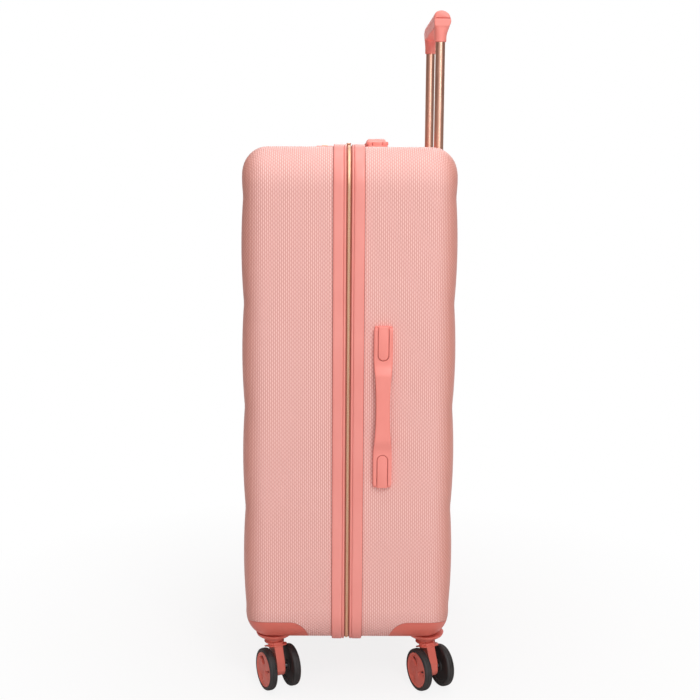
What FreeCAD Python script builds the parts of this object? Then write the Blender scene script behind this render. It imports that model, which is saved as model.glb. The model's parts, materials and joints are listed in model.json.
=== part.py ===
import FreeCAD, Part
import math
import os

# Large hard-shell spinner suitcase, standing upright on four twin-wheel casters.
# +X is the width, towards the side with the carry handle.  +Y is the depth, towards the rear
# half with the telescopic trolley.  +Z is up.  The origin is on the floor under the middle of
# the case, in the plane where the two halves meet.  Millimetres.

# ---------------------------------------------------------------- driving dimensions
# Case halves
case_width = 510.0
case_height = 690.5
front_depth = 145.0
rear_depth = 147.0
corner_radius = 52.0        # corners seen from the front
edge_radius = 36.0          # between the walls and the ribbed face
wall = 2.5
rib_pitch = 143.0           # distance between two creases of the face
crease_depth = 3.0
rib_drop = 8.0              # middle crease below the middle of the case
piece_gap = 0.3             # between soft or hidden pieces of different bodies

# Rim bands, zip and fabric hinge
seam_gap = 7.0              # between the two rim bands
band_width = 17.5
band_stand = 3.5            # how far a band stands proud of the shell
band_edge = 1.4
tape_stand = 1.0
tape_sink = 1.2
teeth_stand = 0.9
teeth_width = 1.4           # of one half of the zip
split_gap = 0.15            # from the seam plane to each half of the zip
hinge_length = 430.0
hinge_strip_sink = 2.2
hinge_offset = 1.0          # hinge line outside the bands

# Linings and packing straps
lining_gap = 0.4
lining_thickness = 1.0
strap_web_width = 25.0
strap_web_thickness = 1.4
strap_web_margin = 14.0
buckle_length = 62.0
buckle_width = 38.0
buckle_thickness = 8.0

# Casters
wheel_radius = 30.0
wheel_width = 11.0
wheel_track = 36.0          # between the middles of the two wheels of a caster
tyre_thickness = 5.0
tyre_round = 3.6
hub_dish = 1.2
hub_rim = 3.0
hub_cap = 2.2
axle_radius = 2.5
kingpin_radius = 4.0
running_fit = 0.05          # radial
axle_end_gap = 0.4
caster_trail = 15.0
caster_heading = 25.9       # degrees from +X to the trailing direction
caster_side_inset = 53.0    # from the side of the case to the swivel axis
front_caster_inset = 41.0   # from the ribbed face to the swivel axis
rear_caster_inset = 33.0
fork_thickness = 13.0
fork_end_radius = 14.0
fork_top_width = 20.0
head_radius = 14.0
head_thickness = 6.0
head_wheel_gap = 3.2
swivel_gap = 0.3
fender_gap = 1.2
fender_thickness = 1.5
fender_width = 32.0
fender_front = 88.0         # degrees, where the fender ends, from the trailing direction
fender_back = 128.0
boss_drop = 6.5
boss_radius = 19.5
boss_step = 2.5
housing_wall = 3.5
housing_width = 100.0       # along X
front_housing_depth = 91.0  # along Y, from the ribbed face
rear_housing_depth = 87.0
housing_height = 36.0       # at the side of the case
housing_fall = 23.0         # lower than that at its inner end, along X
housing_round = 26.0

# Telescopic trolley
tube_spacing = 190.0
tube_radius = 6.8
tube_wall = 1.0
outer_tube_wall = 1.1
tube_fit = 0.08             # radial
tube_inset = 18.0           # from the rear face to the tube axis
tube_below_top = 200.0      # inner tube held below the top of the case, as extended
tube_end_height = 24.0      # outer tube end above the underside of the case
foot_height = 40.0
foot_margin = 3.5
trolley_lift = 167.0        # grip above its stowed place
grip_seat = 2.0             # stowed grip above the top of the case
grip_bar_height = 22.0
grip_front = 9.3            # from the tube axis
grip_rear = 13.8
grip_shoulder = 9.0         # height of the domed top
grip_rear_drop = 14.0
grip_rear_foot = 10.5
grip_rear_lean = 1.3        # the back leans in by this up to the shoulder
grip_overhang = 9.5         # past the tube axis, along X
socket_length = 21.0
socket_wall = 1.5
socket_overlap = 3.0
cup_clearance = 1.7
cup_wall = 2.2
cup_floor = 3.0
cup_depth = 23.0
cup_rim = 6.0
cup_rim_stand = 1.5
button_length = 38.0
button_width = 9.0
button_stand = 1.0
button_travel = 4.0
button_gap = 0.4
rod_end_gap = 1.0
link_size = 5.0
link_drop = 8.0             # top of the link bar below the top of the grip
rod_radius = 1.6
rod_plug_radius = 5.0
rod_plug_length = 14.0

# Carry handles
handle_length = 222.0
side_handle_width = 25.5
top_handle_width = 30.5
side_handle_place = 47.0    # from the seam plane to the middle of the handle
top_handle_place = 41.0
handle_waist = 18.5
handle_rise = 13.5
handle_thickness = 5.5
handle_end_rise = 8.5
handle_end_length = 50.0
handle_ramp = 16.0
handle_tip_drop = 1.0       # chamfer at each end of the strap
handle_tip_length = 2.0
mount_plate = 3.0
mount_margin = 1.0
tongue_length = 46.0
tongue_width = 14.0
tongue_gap = 0.4
tongue_sink = 0.5
rivet_radius = 1.8

# Lock
lock_length = 80.0
lock_width = 25.0
lock_place = 35.5           # from the seam plane to the middle of the lock
lock_stand = 3.0
lock_depth = 14.0
lock_edge = 1.2
dial_count = 3
dial_radius = 7.0
dial_width = 6.0
dial_pitch = 10.0
dial_first = -24.0
dial_stand = 1.0
dial_gap = 0.4
dial_edge = 0.6
spindle_radius = 1.0
spindle_reach = 1.0
lock_screw_margin = 1.0
lock_button_length = 11.0
lock_button_width = 9.0
lock_button_place = 20.0
lock_button_stand = 1.2
lock_button_depth = 4.0
lock_button_travel = 4.0

# Zip sliders
slider_length = 13.0
slider_width = 6.2
slider_height = 2.8
slider_place = 58.0         # from the middle of the case
slider_clearance = 0.3
bail_width = 3.0
bail_length = 4.0
bail_height = 1.6
pull_length = 29.0         # from the pin to the tip
pull_width = 6.5
pull_thickness = 1.3
pull_lift = 0.3
pull_pin_radius = 0.6
pull_pin_inset = 1.0

# Screws
screw_radius = 1.5
screw_head_radius = 3.0
screw_head_height = 1.2
screw_length = 3.0
screw_reach = 31.0          # from the swivel axis

# ---------------------------------------------------------------- derived places
head_bottom = 2 * wheel_radius + head_wheel_gap
boss_bottom = head_bottom + head_thickness + swivel_gap
case_bottom = boss_bottom + boss_drop
case_top = case_bottom + case_height
case_middle = case_bottom + case_height / 2
half_width = case_width / 2
seam_half = seam_gap / 2
band_end = seam_half + band_width
FAR = 2 * (case_width + case_height + rear_depth)

outer_tube_bore = tube_radius + tube_fit
outer_tube_radius = outer_tube_bore + outer_tube_wall
tube_y = rear_depth - tube_inset
tube_x = tube_spacing / 2
grip_top = case_top + grip_seat + grip_bar_height + trolley_lift
bar_bottom = grip_top - grip_bar_height
socket_radius = tube_radius + socket_wall
cup_half_depth = socket_radius + cup_clearance
cup_half_length = tube_x + cup_half_depth
cup_floor_top = case_top + cup_rim_stand - cup_depth
cup_front = tube_y - cup_half_depth - cup_wall
lining_back = cup_front - 2 * lining_thickness


# ---------------------------------------------------------------- helpers
def box(x0, x1, y0, y1, z0, z1):
    """Box between two corners."""
    return Part.makeBox(x1 - x0, y1 - y0, z1 - z0, FreeCAD.Vector(x0, y0, z0))


def cylinder(radius, start, direction, length):
    """Round bar from a start point along a direction."""
    return Part.makeCylinder(radius, length, FreeCAD.Vector(*start), FreeCAD.Vector(*direction))


def prism(points, direction):
    """Solid pushed out from a flat outline.  A pair (middle, end) is an arc to that end."""
    edges, at = [], FreeCAD.Vector(*points[0])
    for step in points[1:] + [points[0]]:
        if isinstance(step[0], tuple):
            middle, end = FreeCAD.Vector(*step[0]), FreeCAD.Vector(*step[1])
            edges.append(Part.Arc(at, middle, end).toShape())
        else:
            end = FreeCAD.Vector(*step)
            if end.distanceToPoint(at) < 1e-6:
                continue
            edges.append(Part.makeLine(at, end))
        at = end
    return Part.Face(Part.Wire(edges)).extrude(FreeCAD.Vector(*direction))


def front(shape):
    """The same piece on the front half: mirrored in the seam plane."""
    return shape.mirror(FreeCAD.Vector(0, 0, 0), FreeCAD.Vector(0, 1, 0))


def rounded_block(offset, y0, y1):
    """Block with the case's outline, its surface moved outwards by offset."""
    block = box(-half_width - offset, half_width + offset, y0, y1, case_bottom - offset,
                case_top + offset)
    upright = [e for e in block.Edges if e.BoundBox.YLength > (y1 - y0) / 2]
    return block.makeFillet(corner_radius + offset, upright)


def hoop(inner, outer, y0, y1):
    """Ring that follows the case's outline, between two offsets from the shell's outside."""
    over = y1 - y0
    return rounded_block(outer, y0, y1).cut(rounded_block(inner, y0 - over, y1 + over))


def rib_profile(depth):
    """Everything on the seam side of the ribbed face: shallow pillows between sharp creases."""
    count = 2 * math.ceil((case_height / 2 + rib_drop) / rib_pitch)
    low = case_middle - rib_drop - count / 2 * rib_pitch
    crease = depth - crease_depth
    points = [(-FAR, -depth, low), (-FAR, crease, low)]
    for k in range(count):
        z = low + k * rib_pitch
        points.append(((-FAR, depth, z + rib_pitch / 2), (-FAR, crease, z + rib_pitch)))
    points.append((-FAR, -depth, low + count * rib_pitch))
    return prism(points, (2 * FAR, 0, 0))


def case_form(depth, offset, start, ribbed=True):
    """Filled form of one half, its surface moved outwards by offset."""
    reach = depth + offset
    form = rounded_block(offset, start, reach)
    rim = [e for e in form.Edges if e.BoundBox.YMin > reach - 1e-3]
    form = form.makeFillet(edge_radius + offset, rim)
    return form.common(rib_profile(reach)) if ribbed else form


def skin(depth, outer, thickness, ribbed=True):
    """Thin-walled tray, open at the seam."""
    filled = case_form(depth, -outer, seam_half, ribbed)
    return filled.cut(case_form(depth, -outer - thickness, -seam_half, ribbed))


def place_caster(shape, x, y):
    """From the caster's own frame, trail along +X, to its place under the case."""
    shape = shape.copy()
    shape.rotate(FreeCAD.Vector(0, 0, 0), FreeCAD.Vector(0, 0, 1), caster_heading)
    shape.translate(FreeCAD.Vector(x, y, 0))
    return shape


def screw(x, y, z, length):
    """Pan-head screw driven upwards, its head under z."""
    shank = cylinder(screw_radius, (x, y, z), (0, 0, 1), length)
    head = cylinder(screw_head_radius, (x, y, z - screw_head_height), (0, 0, 1), screw_head_height)
    return shank.fuse(head).removeSplitter()


parts = {}

# ---------------------------------------------------------------- casters
caster_x = half_width - caster_side_inset
caster_places = {"fl": (-1, -1), "fr": (1, -1), "rl": (-1, 1), "rr": (1, 1)}
depths = {-1: front_depth, 1: rear_depth}
caster_y = {-1: front_depth - front_caster_inset, 1: rear_depth - rear_caster_inset}
housing_starts = {-1: front_depth - front_housing_depth, 1: rear_depth - rear_housing_depth}


def wheel_parts(side):
    """Tyre and hub of one wheel; side is its side of the fork, along the axle."""
    middle = side * wheel_track / 2
    inner = middle - side * wheel_width / 2
    outward = (0, side, 0)
    hub_radius = wheel_radius - tyre_thickness
    at = (caster_trail, inner, wheel_radius)
    whole = cylinder(wheel_radius, at, outward, wheel_width)
    rims = [e for e in whole.Edges if len(e.Vertexes) == 1 and e.Length > wheel_radius]
    tyre = whole.makeFillet(tyre_round, rims).cut(cylinder(hub_radius, at, outward, wheel_width))
    hub = cylinder(hub_radius, at, outward, wheel_width)
    dish = inner + side * (wheel_width - hub_dish)
    hub = hub.cut(cylinder(hub_radius - hub_rim, (caster_trail, dish, wheel_radius), outward,
                           wheel_width))
    bore = cylinder(axle_radius + running_fit, at, outward, wheel_width - hub_dish - hub_cap)
    return tyre, hub.cut(bore)


def fork_part():
    """Swivel head, central arm and the two fender wings in one moulding."""
    head = cylinder(head_radius, (0, 0, head_bottom), (0, 0, 1), head_thickness)
    half = fork_thickness / 2
    tilt = math.atan2(caster_trail, head_bottom - wheel_radius)
    dx, dz = fork_end_radius * math.cos(tilt), fork_end_radius * math.sin(tilt)
    arm = prism([
        (-fork_top_width / 2, -half, head_bottom + head_thickness / 2),
        (caster_trail - dx, -half, wheel_radius + dz / 4),
        ((caster_trail - dz / 2, -half, wheel_radius - fork_end_radius),
         (caster_trail + dx, -half, wheel_radius - dz / 4)),
        (fork_top_width / 2 + dz / 2, -half, head_bottom + head_thickness / 2),
    ], (0, fork_thickness, 0))
    inner = wheel_radius + fender_gap
    at = (caster_trail, -fender_width / 2, wheel_radius)
    ring = cylinder(inner + fender_thickness, at, (0, 1, 0), fender_width)
    ring = ring.cut(cylinder(inner, at, (0, 1, 0), fender_width))
    reach = 2 * wheel_radius
    wedge = [(caster_trail, -fender_width / 2, wheel_radius)]
    for degrees in (fender_front, (fender_front + fender_back) / 2, fender_back):
        turn = math.radians(degrees)
        wedge.append((caster_trail + reach * math.cos(turn), -fender_width / 2,
                      wheel_radius + reach * math.sin(turn)))
    fender = ring.common(prism(wedge, (0, fender_width, 0)))
    fork = head.fuse([arm, fender])
    return fork.cut(pins_part()).removeSplitter()


def pins_part():
    """Axle and kingpin."""
    half = wheel_track / 2 + wheel_width / 2 - hub_dish - hub_cap - axle_end_gap
    axle = cylinder(axle_radius, (caster_trail, -half, wheel_radius), (0, 1, 0), 2 * half)
    top = case_bottom + housing_wall - axle_end_gap - running_fit
    kingpin = cylinder(kingpin_radius, (0, 0, head_bottom), (0, 0, 1), top - head_bottom)
    return Part.Compound([axle, kingpin])


def corner_region(sx, start):
    """The space that a caster housing takes out of a bottom corner of a shell, from y = start."""
    x0, x1 = half_width - housing_width, half_width + housing_width
    inner_top = case_bottom + housing_height - housing_fall
    outer_top = case_bottom + housing_height + housing_fall
    block = prism([(x0, start, 0), (x1, start, 0), (x1, start, outer_top), (x0, start, inner_top)],
                  (0, 2 * rear_depth, 0))

    def inside_edge(e):
        b = e.BoundBox
        at_x, at_y, at_top = b.XMax < x0 + 1e-3, b.YMax < start + 1e-3, b.ZMin > inner_top - 1e-3
        return at_x + at_y + at_top == 2 and b.ZMax > 1e-3

    block = block.makeFillet(housing_round, [e for e in block.Edges if inside_edge(e)])
    return block if sx > 0 else block.mirror(FreeCAD.Vector(0, 0, 0), FreeCAD.Vector(1, 0, 0))


def housing_part(sx, sy, screws):
    """Corner moulding flush with the shell, with the round boss that holds the kingpin."""
    x, y, depth = sx * caster_x, caster_y[sy], depths[sy]
    corner = case_form(depth, 0, seam_half).cut(case_form(depth, -housing_wall, -seam_half))
    corner = corner.common(corner_region(sx, housing_starts[sy]))
    boss = cylinder(boss_radius, (x, y, boss_bottom + boss_step), (0, 0, 1),
                    boss_drop - boss_step + housing_wall)
    lip = cylinder(boss_radius - boss_step, (x, y, boss_bottom), (0, 0, 1), boss_step)
    bore = cylinder(kingpin_radius + running_fit, (x, y, boss_bottom), (0, 0, 1),
                    boss_drop + housing_wall - axle_end_gap / 2)
    return corner.fuse([boss, lip]).cut(bore).cut(screws)


def housing_screws(sx, sy):
    """The two screws beside a boss."""
    x, y = sx * caster_x, caster_y[sy]
    return [screw(x - sx * screw_reach, y, case_bottom, screw_length),
            screw(x, y - screw_reach, case_bottom, screw_length)]


screws = {-1: [], 1: []}
for name, (sx, sy) in caster_places.items():
    centre = (sx * caster_x, sy * caster_y[sy])
    drivers = housing_screws(sx, sy)
    housing = housing_part(sx, sy, drivers)
    parts["caster_housing_" + name] = housing if sy > 0 else front(housing)
    screws[sy] += drivers if sy > 0 else [front(s) for s in drivers]
    parts["fork_" + name] = place_caster(fork_part(), *centre)
    parts["caster_pins_" + name] = place_caster(pins_part(), *centre)
    for letter, side in (("a", -1), ("b", 1)):
        tyre, hub = wheel_parts(side)
        parts["tyre_%s_%s" % (name, letter)] = place_caster(tyre, *centre)
        parts["hub_%s_%s" % (name, letter)] = place_caster(hub, *centre)

# ---------------------------------------------------------------- shells and linings
shells, linings = {}, {}
for sy, depth in depths.items():
    corners = [corner_region(sx, housing_starts[sy]) for sx in (1, -1)]
    shell = skin(depth, 0, wall).cut(corners)
    back = lining_back if sy > 0 else depth
    lining = skin(back, wall + lining_gap, lining_thickness, ribbed=sy < 0)
    housing_space = [corner.common(case_form(depth, 0, seam_half).cut(
        case_form(depth, -housing_wall - lining_gap, -seam_half))) for corner in corners]
    lining = lining.cut(housing_space)
    shells[sy] = shell if sy > 0 else front(shell)
    linings[sy] = lining if sy > 0 else front(lining)

# ---------------------------------------------------------------- rim bands and zip
band = hoop(0, band_stand, seam_half, band_end)
lips = [e for e in band.Edges if abs(e.BoundBox.YLength) < 1e-3
        and not rounded_block(band_stand / 2, seam_half - 1, band_end + 1).isInside(
            e.valueAt((e.FirstParameter + e.LastParameter) / 2), 1e-3, True)]
parts["rear_band"] = band.makeFillet(band_edge, lips)
parts["front_band"] = front(parts["rear_band"])

hinge_zone = box(-FAR, -half_width + corner_radius / 2, -seam_gap, seam_gap,
                 case_middle - hinge_length / 2, case_middle + hinge_length / 2)
tape = hoop(-tape_sink, tape_stand, split_gap, seam_half)
teeth = hoop(tape_stand, tape_stand + teeth_stand, split_gap, teeth_width)
half_zip = tape.fuse(teeth).cut(hinge_zone)
parts["rear_zip_tape"] = half_zip
parts["front_zip_tape"] = front(half_zip)
strip = hoop(-hinge_strip_sink, tape_stand, split_gap, seam_half).common(hinge_zone)
parts["hinge_gusset"] = strip

# ---------------------------------------------------------------- packing straps
web_y = lining_back - wall - lining_gap - lining_thickness
flat_x = half_width - edge_radius - strap_web_margin
flat_z = case_height / 2 - edge_radius - strap_web_margin
web_half = math.hypot(flat_x, flat_z)
web_angle = math.degrees(math.atan2(flat_x, flat_z))
webs = []
for turn in (-web_angle, web_angle):
    web = box(-strap_web_width / 2, strap_web_width / 2, web_y - strap_web_thickness, web_y,
              -web_half, web_half)
    web.rotate(FreeCAD.Vector(0, 0, 0), FreeCAD.Vector(0, 1, 0), turn)
    web.translate(FreeCAD.Vector(0, 0, case_middle))
    webs.append(web)
buckle = box(-buckle_width / 2, buckle_width / 2, web_y - buckle_thickness, web_y,
             case_middle - buckle_length / 2, case_middle + buckle_length / 2)
parts["packing_straps"] = webs[0].fuse([webs[1], buckle]).removeSplitter()

# ---------------------------------------------------------------- trolley, fixed parts
cup_block = box(-cup_half_length - cup_wall, cup_half_length + cup_wall, cup_front,
                tube_y + cup_half_depth + cup_wall, cup_floor_top - cup_floor, case_top + cup_depth)
trough = box(-cup_half_length, cup_half_length, tube_y - cup_half_depth, tube_y + cup_half_depth,
             cup_floor_top, case_top + 2 * cup_depth)
rim_space = box(-cup_half_length - cup_rim, cup_half_length + cup_rim, cup_front - cup_rim / 2,
                rear_depth - cup_rim / 2, case_top - cup_depth, case_top + cup_depth)
proud_form = case_form(rear_depth, cup_rim_stand, seam_half)
cup_rim_part = proud_form.cut(case_form(rear_depth, 0, -seam_half)).common(rim_space)
cup = cup_block.common(proud_form).fuse(cup_rim_part).cut(trough)
for sx in (-1, 1):
    cup = cup.cut(cylinder(tube_radius + piece_gap, (sx * tube_x, tube_y, 0), (0, 0, 1), FAR))
parts["trolley_cup"] = cup
shells[1] = shells[1].cut(cup_block)

tube_end = case_bottom + tube_end_height
tube_stop = cup_floor_top - cup_floor
outer_tubes, foot_holes = [], []
for sx in (-1, 1):
    at = (sx * tube_x, tube_y, tube_end)
    body = cylinder(outer_tube_radius, at, (0, 0, 1), tube_stop - tube_end)
    outer_tubes.append(body.cut(cylinder(outer_tube_bore, at, (0, 0, 1), FAR)))
    foot_holes.append(body)
parts["trolley_outer_tubes"] = Part.Compound(outer_tubes)
foot_half = tube_x + outer_tube_radius + foot_margin
foot = box(-foot_half, foot_half, tube_y - outer_tube_radius - foot_margin,
           tube_y + outer_tube_radius + foot_margin, case_bottom, case_bottom + foot_height)
parts["trolley_foot"] = foot.common(case_form(rear_depth, -wall, -seam_half)).cut(foot_holes)

# ---------------------------------------------------------------- trolley, moving parts
tube_top = bar_bottom + socket_overlap
tube_low = case_top - tube_below_top
inner_tubes = []
for sx in (-1, 1):
    at = (sx * tube_x, tube_y, tube_low)
    body = cylinder(tube_radius, at, (0, 0, 1), tube_top - tube_low)
    bore = cylinder(tube_radius - tube_wall, at, (0, 0, 1), tube_top - tube_low)
    inner_tubes.append(body.cut(bore))
parts["trolley_inner_tubes"] = Part.Compound(inner_tubes)

link_top = grip_top - link_drop
link_low = link_top - link_size
rods = [box(-tube_x - link_size / 2, tube_x + link_size / 2, tube_y - link_size / 2,
            tube_y + link_size / 2, link_low, link_top)]
plug_low = tube_low + button_travel + rod_end_gap
for sx in (-1, 1):
    rods.append(cylinder(rod_radius, (sx * tube_x, tube_y, plug_low), (0, 0, 1),
                         link_low - plug_low + link_size / 2))
    rods.append(cylinder(rod_plug_radius, (sx * tube_x, tube_y, plug_low), (0, 0, 1),
                         rod_plug_length))
parts["trolley_rods"] = rods[0].fuse(rods[1:]).removeSplitter()

button = box(-button_length / 2, button_length / 2, tube_y - button_width / 2,
             tube_y + button_width / 2, link_top, grip_top + button_stand)
button_rims = [e for e in button.Edges if e.BoundBox.ZMin > grip_top]
parts["trolley_button"] = button.makeFillet(button_stand, button_rims)

bar_half = tube_x + grip_overhang
y_front, y_rear = tube_y - grip_front, tube_y + grip_rear
shoulder = grip_top - grip_shoulder
bar = prism([
    (-bar_half, y_front, bar_bottom),
    (-bar_half, y_front, shoulder),
    ((-bar_half, tube_y, grip_top), (-bar_half, y_rear - grip_rear_lean, shoulder)),
    (-bar_half, y_rear, grip_top - grip_rear_drop),
    (-bar_half, tube_y + grip_rear_foot, bar_bottom),
], (2 * bar_half, 0, 0))
sockets, hollows = [], []
for sx in (-1, 1):
    at = (sx * tube_x, tube_y, bar_bottom - socket_length)
    sockets.append(cylinder(socket_radius, at, (0, 0, 1), socket_length))
    hollows.append(cylinder(tube_radius, at, (0, 0, 1), socket_length + socket_overlap))
    hollows.append(cylinder(rod_radius + button_gap, at, (0, 0, 1), link_top - at[2]))
hollows.append(box(-tube_x - link_size, tube_x + link_size, tube_y - link_size / 2 - button_gap,
                   tube_y + link_size / 2 + button_gap, link_low - button_travel - button_gap,
                   link_top + button_gap))
hollows.append(box(-button_length / 2 - button_gap, button_length / 2 + button_gap,
                   tube_y - button_width / 2 - button_gap, tube_y + button_width / 2 + button_gap,
                   link_top - button_travel - button_gap, FAR))
parts["trolley_grip"] = bar.fuse(sockets).cut(hollows).removeSplitter()


# ---------------------------------------------------------------- carry handles
def handle_parts(width):
    """Strap and its two mounts, length along X, height along Z, standing on z = 0."""
    half, end = handle_length / 2, handle_length / 2 - handle_end_length
    low = mount_plate + tongue_gap / 2
    middle = end - handle_ramp
    under = handle_rise - handle_thickness
    tip, tip_rise = half - handle_tip_length, handle_end_rise - handle_tip_drop
    profile = prism([
        (-half, -width, low), (-half, -width, tip_rise),
        (-tip, -width, handle_end_rise), (-end, -width, handle_end_rise),
        (-middle, -width, handle_rise), (middle, -width, handle_rise),
        (end, -width, handle_end_rise), (tip, -width, handle_end_rise),
        (half, -width, tip_rise), (half, -width, low),
        (end, -width, low), (middle, -width, under), (-middle, -width, under), (-end, -width, low),
    ], (0, 2 * width, 0))
    w, s = width / 2, handle_waist / 2
    outline = prism([
        (-half, -w, 0), (-end, -w, 0), ((0, -s, 0), (end, -w, 0)), (half, -w, 0),
        (half, w, 0), (end, w, 0), ((0, s, 0), (-end, w, 0)), (-half, w, 0),
    ], (0, 0, 2 * handle_rise))
    strap = profile.common(outline)
    mounts, rivets = [], []
    for side in (-1, 1):
        outer = side * half
        inner = side * (half - tongue_length)
        plate = box(min(outer, inner), max(outer, inner), mount_margin - w, w - mount_margin, 0,
                    mount_plate)
        tongue = tongue_shape(side, half, 0)
        rivet = cylinder(rivet_radius, (side * (half - tongue_length / 2), 0, -wall), (0, 0, 1),
                         wall + mount_plate)
        mounts.append(plate.fuse(tongue).removeSplitter().cut(rivet))
        rivets.append(rivet)
        strap = strap.cut(tongue_shape(side, half, tongue_gap))
    return strap, Part.Compound(mounts), rivets


def tongue_shape(side, half, grow):
    """Flat tongue with a round inner end, which fills the open slot of a strap's end."""
    w = tongue_width / 2 + grow
    start = side * (half + grow)
    round_x = side * (half - tongue_length + tongue_width / 2)
    return prism([
        (start, -w, mount_plate), (round_x, -w, mount_plate),
        ((round_x - side * w, 0, mount_plate), (round_x, w, mount_plate)),
        (start, w, mount_plate),
    ], (0, 0, handle_end_rise - mount_plate - tongue_sink + grow / tongue_gap * handle_rise))


def to_top(shape):
    """Handle on the flat top of the rear half."""
    shape = shape.copy()
    shape.translate(FreeCAD.Vector(0, top_handle_place, case_top))
    return shape


def to_side(shape):
    """Handle upright on the side of the rear half."""
    shape = shape.copy()
    shape.rotate(FreeCAD.Vector(0, 0, 0), FreeCAD.Vector(1, 0, 1), 180)
    shape.translate(FreeCAD.Vector(half_width, side_handle_place, case_middle))
    return shape


for name, width, place in (("top", top_handle_width, to_top), ("side", side_handle_width, to_side)):
    strap, mounts, rivets = handle_parts(width)
    parts[name + "_handle_strap"] = place(strap)
    parts[name + "_handle_mounts"] = place(mounts)
    placed = [place(r) for r in rivets]
    shells[1] = shells[1].cut(placed)
    screws[1] += placed

# ---------------------------------------------------------------- lock
lock_top = case_top + lock_stand
lock_low = case_top - lock_depth
lock_block = box(-lock_length / 2, lock_length / 2, -lock_place - lock_width / 2,
                 -lock_place + lock_width / 2, lock_low, lock_top)
lock_rims = [e for e in lock_block.Edges if e.BoundBox.ZMin > lock_top - 1e-3]
lock = lock_block.makeFillet(lock_edge, lock_rims)
dial_z = lock_top + dial_stand - dial_radius
dial_centres = [dial_first + k * dial_pitch for k in range(dial_count)]
for x in dial_centres:
    lock = lock.cut(cylinder(dial_radius + dial_gap, (x - dial_width / 2 - dial_gap, -lock_place,
                    dial_z), (1, 0, 0), dial_width + 2 * dial_gap))
spindle = cylinder(spindle_radius, (dial_first - dial_pitch / 2 - spindle_reach, -lock_place, dial_z),
                   (1, 0, 0), dial_count * dial_pitch + 2 * spindle_reach)
button_low = lock_top - lock_button_depth
button_y0 = -lock_place - lock_button_width / 2
button_y1 = -lock_place + lock_button_width / 2
lock = lock.fuse(spindle).cut(box(
    lock_button_place - lock_button_length / 2 - dial_gap,
    lock_button_place + lock_button_length / 2 + lock_button_travel + dial_gap,
    button_y0 - dial_gap, button_y1 + dial_gap, button_low - dial_gap, FAR))
shells[-1] = shells[-1].cut(lock_block)
lock_space = box(-lock_length / 2 - lining_gap, lock_length / 2 + lining_gap,
                 -lock_place - lock_width / 2 - lining_gap, -lock_place + lock_width / 2 + lining_gap,
                 lock_low - lining_gap, lock_top)
linings[-1] = linings[-1].cut(lock_space)
lock_screws = [screw(sx * (lock_length / 2 - screw_head_radius - lock_screw_margin), -lock_place, lock_low,
                     screw_length) for sx in (-1, 1)]
parts["lock_body"] = lock.cut(lock_screws)
screws[-1] += lock_screws
for k, x in enumerate(dial_centres):
    dial = cylinder(dial_radius, (x - dial_width / 2, -lock_place, dial_z), (1, 0, 0), dial_width)
    bore = cylinder(spindle_radius + running_fit, (x - dial_width / 2, -lock_place, dial_z),
                    (1, 0, 0), dial_width)
    parts["lock_dial_%d" % (k + 1)] = dial.makeFillet(dial_edge, [
        e for e in dial.Edges if len(e.Vertexes) == 1 and e.Length > dial_radius]).cut(bore)
slide = box(lock_button_place - lock_button_length / 2, lock_button_place + lock_button_length / 2,
            button_y0, button_y1, button_low, lock_top + lock_button_stand)
slide_rims = [e for e in slide.Edges if e.BoundBox.ZMin > lock_top]
parts["lock_button"] = slide.makeFillet(lock_button_stand / 2, slide_rims)

# ---------------------------------------------------------------- zip sliders and pulls
slider_low = case_top + tape_stand + teeth_stand + slider_clearance
slider_top = slider_low + slider_height
pin_z = slider_top + bail_height / 2
for name, sx in (("left", -1), ("right", 1)):
    x = sx * slider_place
    body = box(x - slider_length / 2, x + slider_length / 2, -slider_width / 2, slider_width / 2,
               slider_low, slider_top)
    upright = [e for e in body.Edges if e.BoundBox.ZLength > slider_height / 2]
    body = body.makeFillet(slider_width / 4, upright)
    bail = box(x - bail_length / 2, x + bail_length / 2, -bail_width / 2, bail_width / 2,
               slider_top, slider_top + bail_height)
    pin_hole = cylinder(pull_pin_radius + running_fit, (x, -bail_width, pin_z), (0, 1, 0),
                        2 * bail_width)
    parts["zip_slider_" + name] = body.fuse(bail).cut(pin_hole).removeSplitter()
    tip = x + sx * pull_length
    plate = box(min(x, tip), max(x, tip), -pull_width / 2, pull_width / 2,
                pin_z - pull_thickness / 2, pin_z + pull_thickness / 2)
    corners = [e for e in plate.Edges if e.BoundBox.ZLength > pull_thickness / 2
               and abs(e.BoundBox.XMin - tip) < 1e-3]
    plate = plate.makeFillet(pull_width / 3, corners)
    plate = plate.fuse(cylinder(pull_thickness / 2, (x, -pull_width / 2, pin_z), (0, 1, 0),
                                pull_width))
    window = box(x - bail_length / 2 - pull_lift, x + bail_length / 2 + pull_lift,
                 -bail_width / 2 - pull_lift, bail_width / 2 + pull_lift, slider_low, FAR)
    pin = cylinder(pull_pin_radius, (x, pull_pin_inset - pull_width / 2, pin_z), (0, 1, 0),
                   pull_width - 2 * pull_pin_inset)
    parts["zip_pull_" + name] = plate.cut(window).fuse(pin).removeSplitter()

# ---------------------------------------------------------------- finish the shells and screws
parts["front_shell"], parts["rear_shell"] = shells[-1], shells[1]
parts["front_lining"], parts["rear_lining"] = linings[-1], linings[1]
parts["front_screws"] = Part.Compound(screws[-1])
parts["rear_screws"] = Part.Compound(screws[1])

os.makedirs("parts", exist_ok=True)
for name, shape in parts.items():
    if not shape.isValid():
        print("not valid:", name)
    shape.exportStep("parts/%s.step" % name)
whole = Part.Compound(list(parts.values())).BoundBox
print(len(parts), "pieces, box", whole)
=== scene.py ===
import json
import math

import bmesh
import bpy
import numpy as np
from mathutils import Matrix, Vector
from mathutils.noise import noise as noise_value


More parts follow.
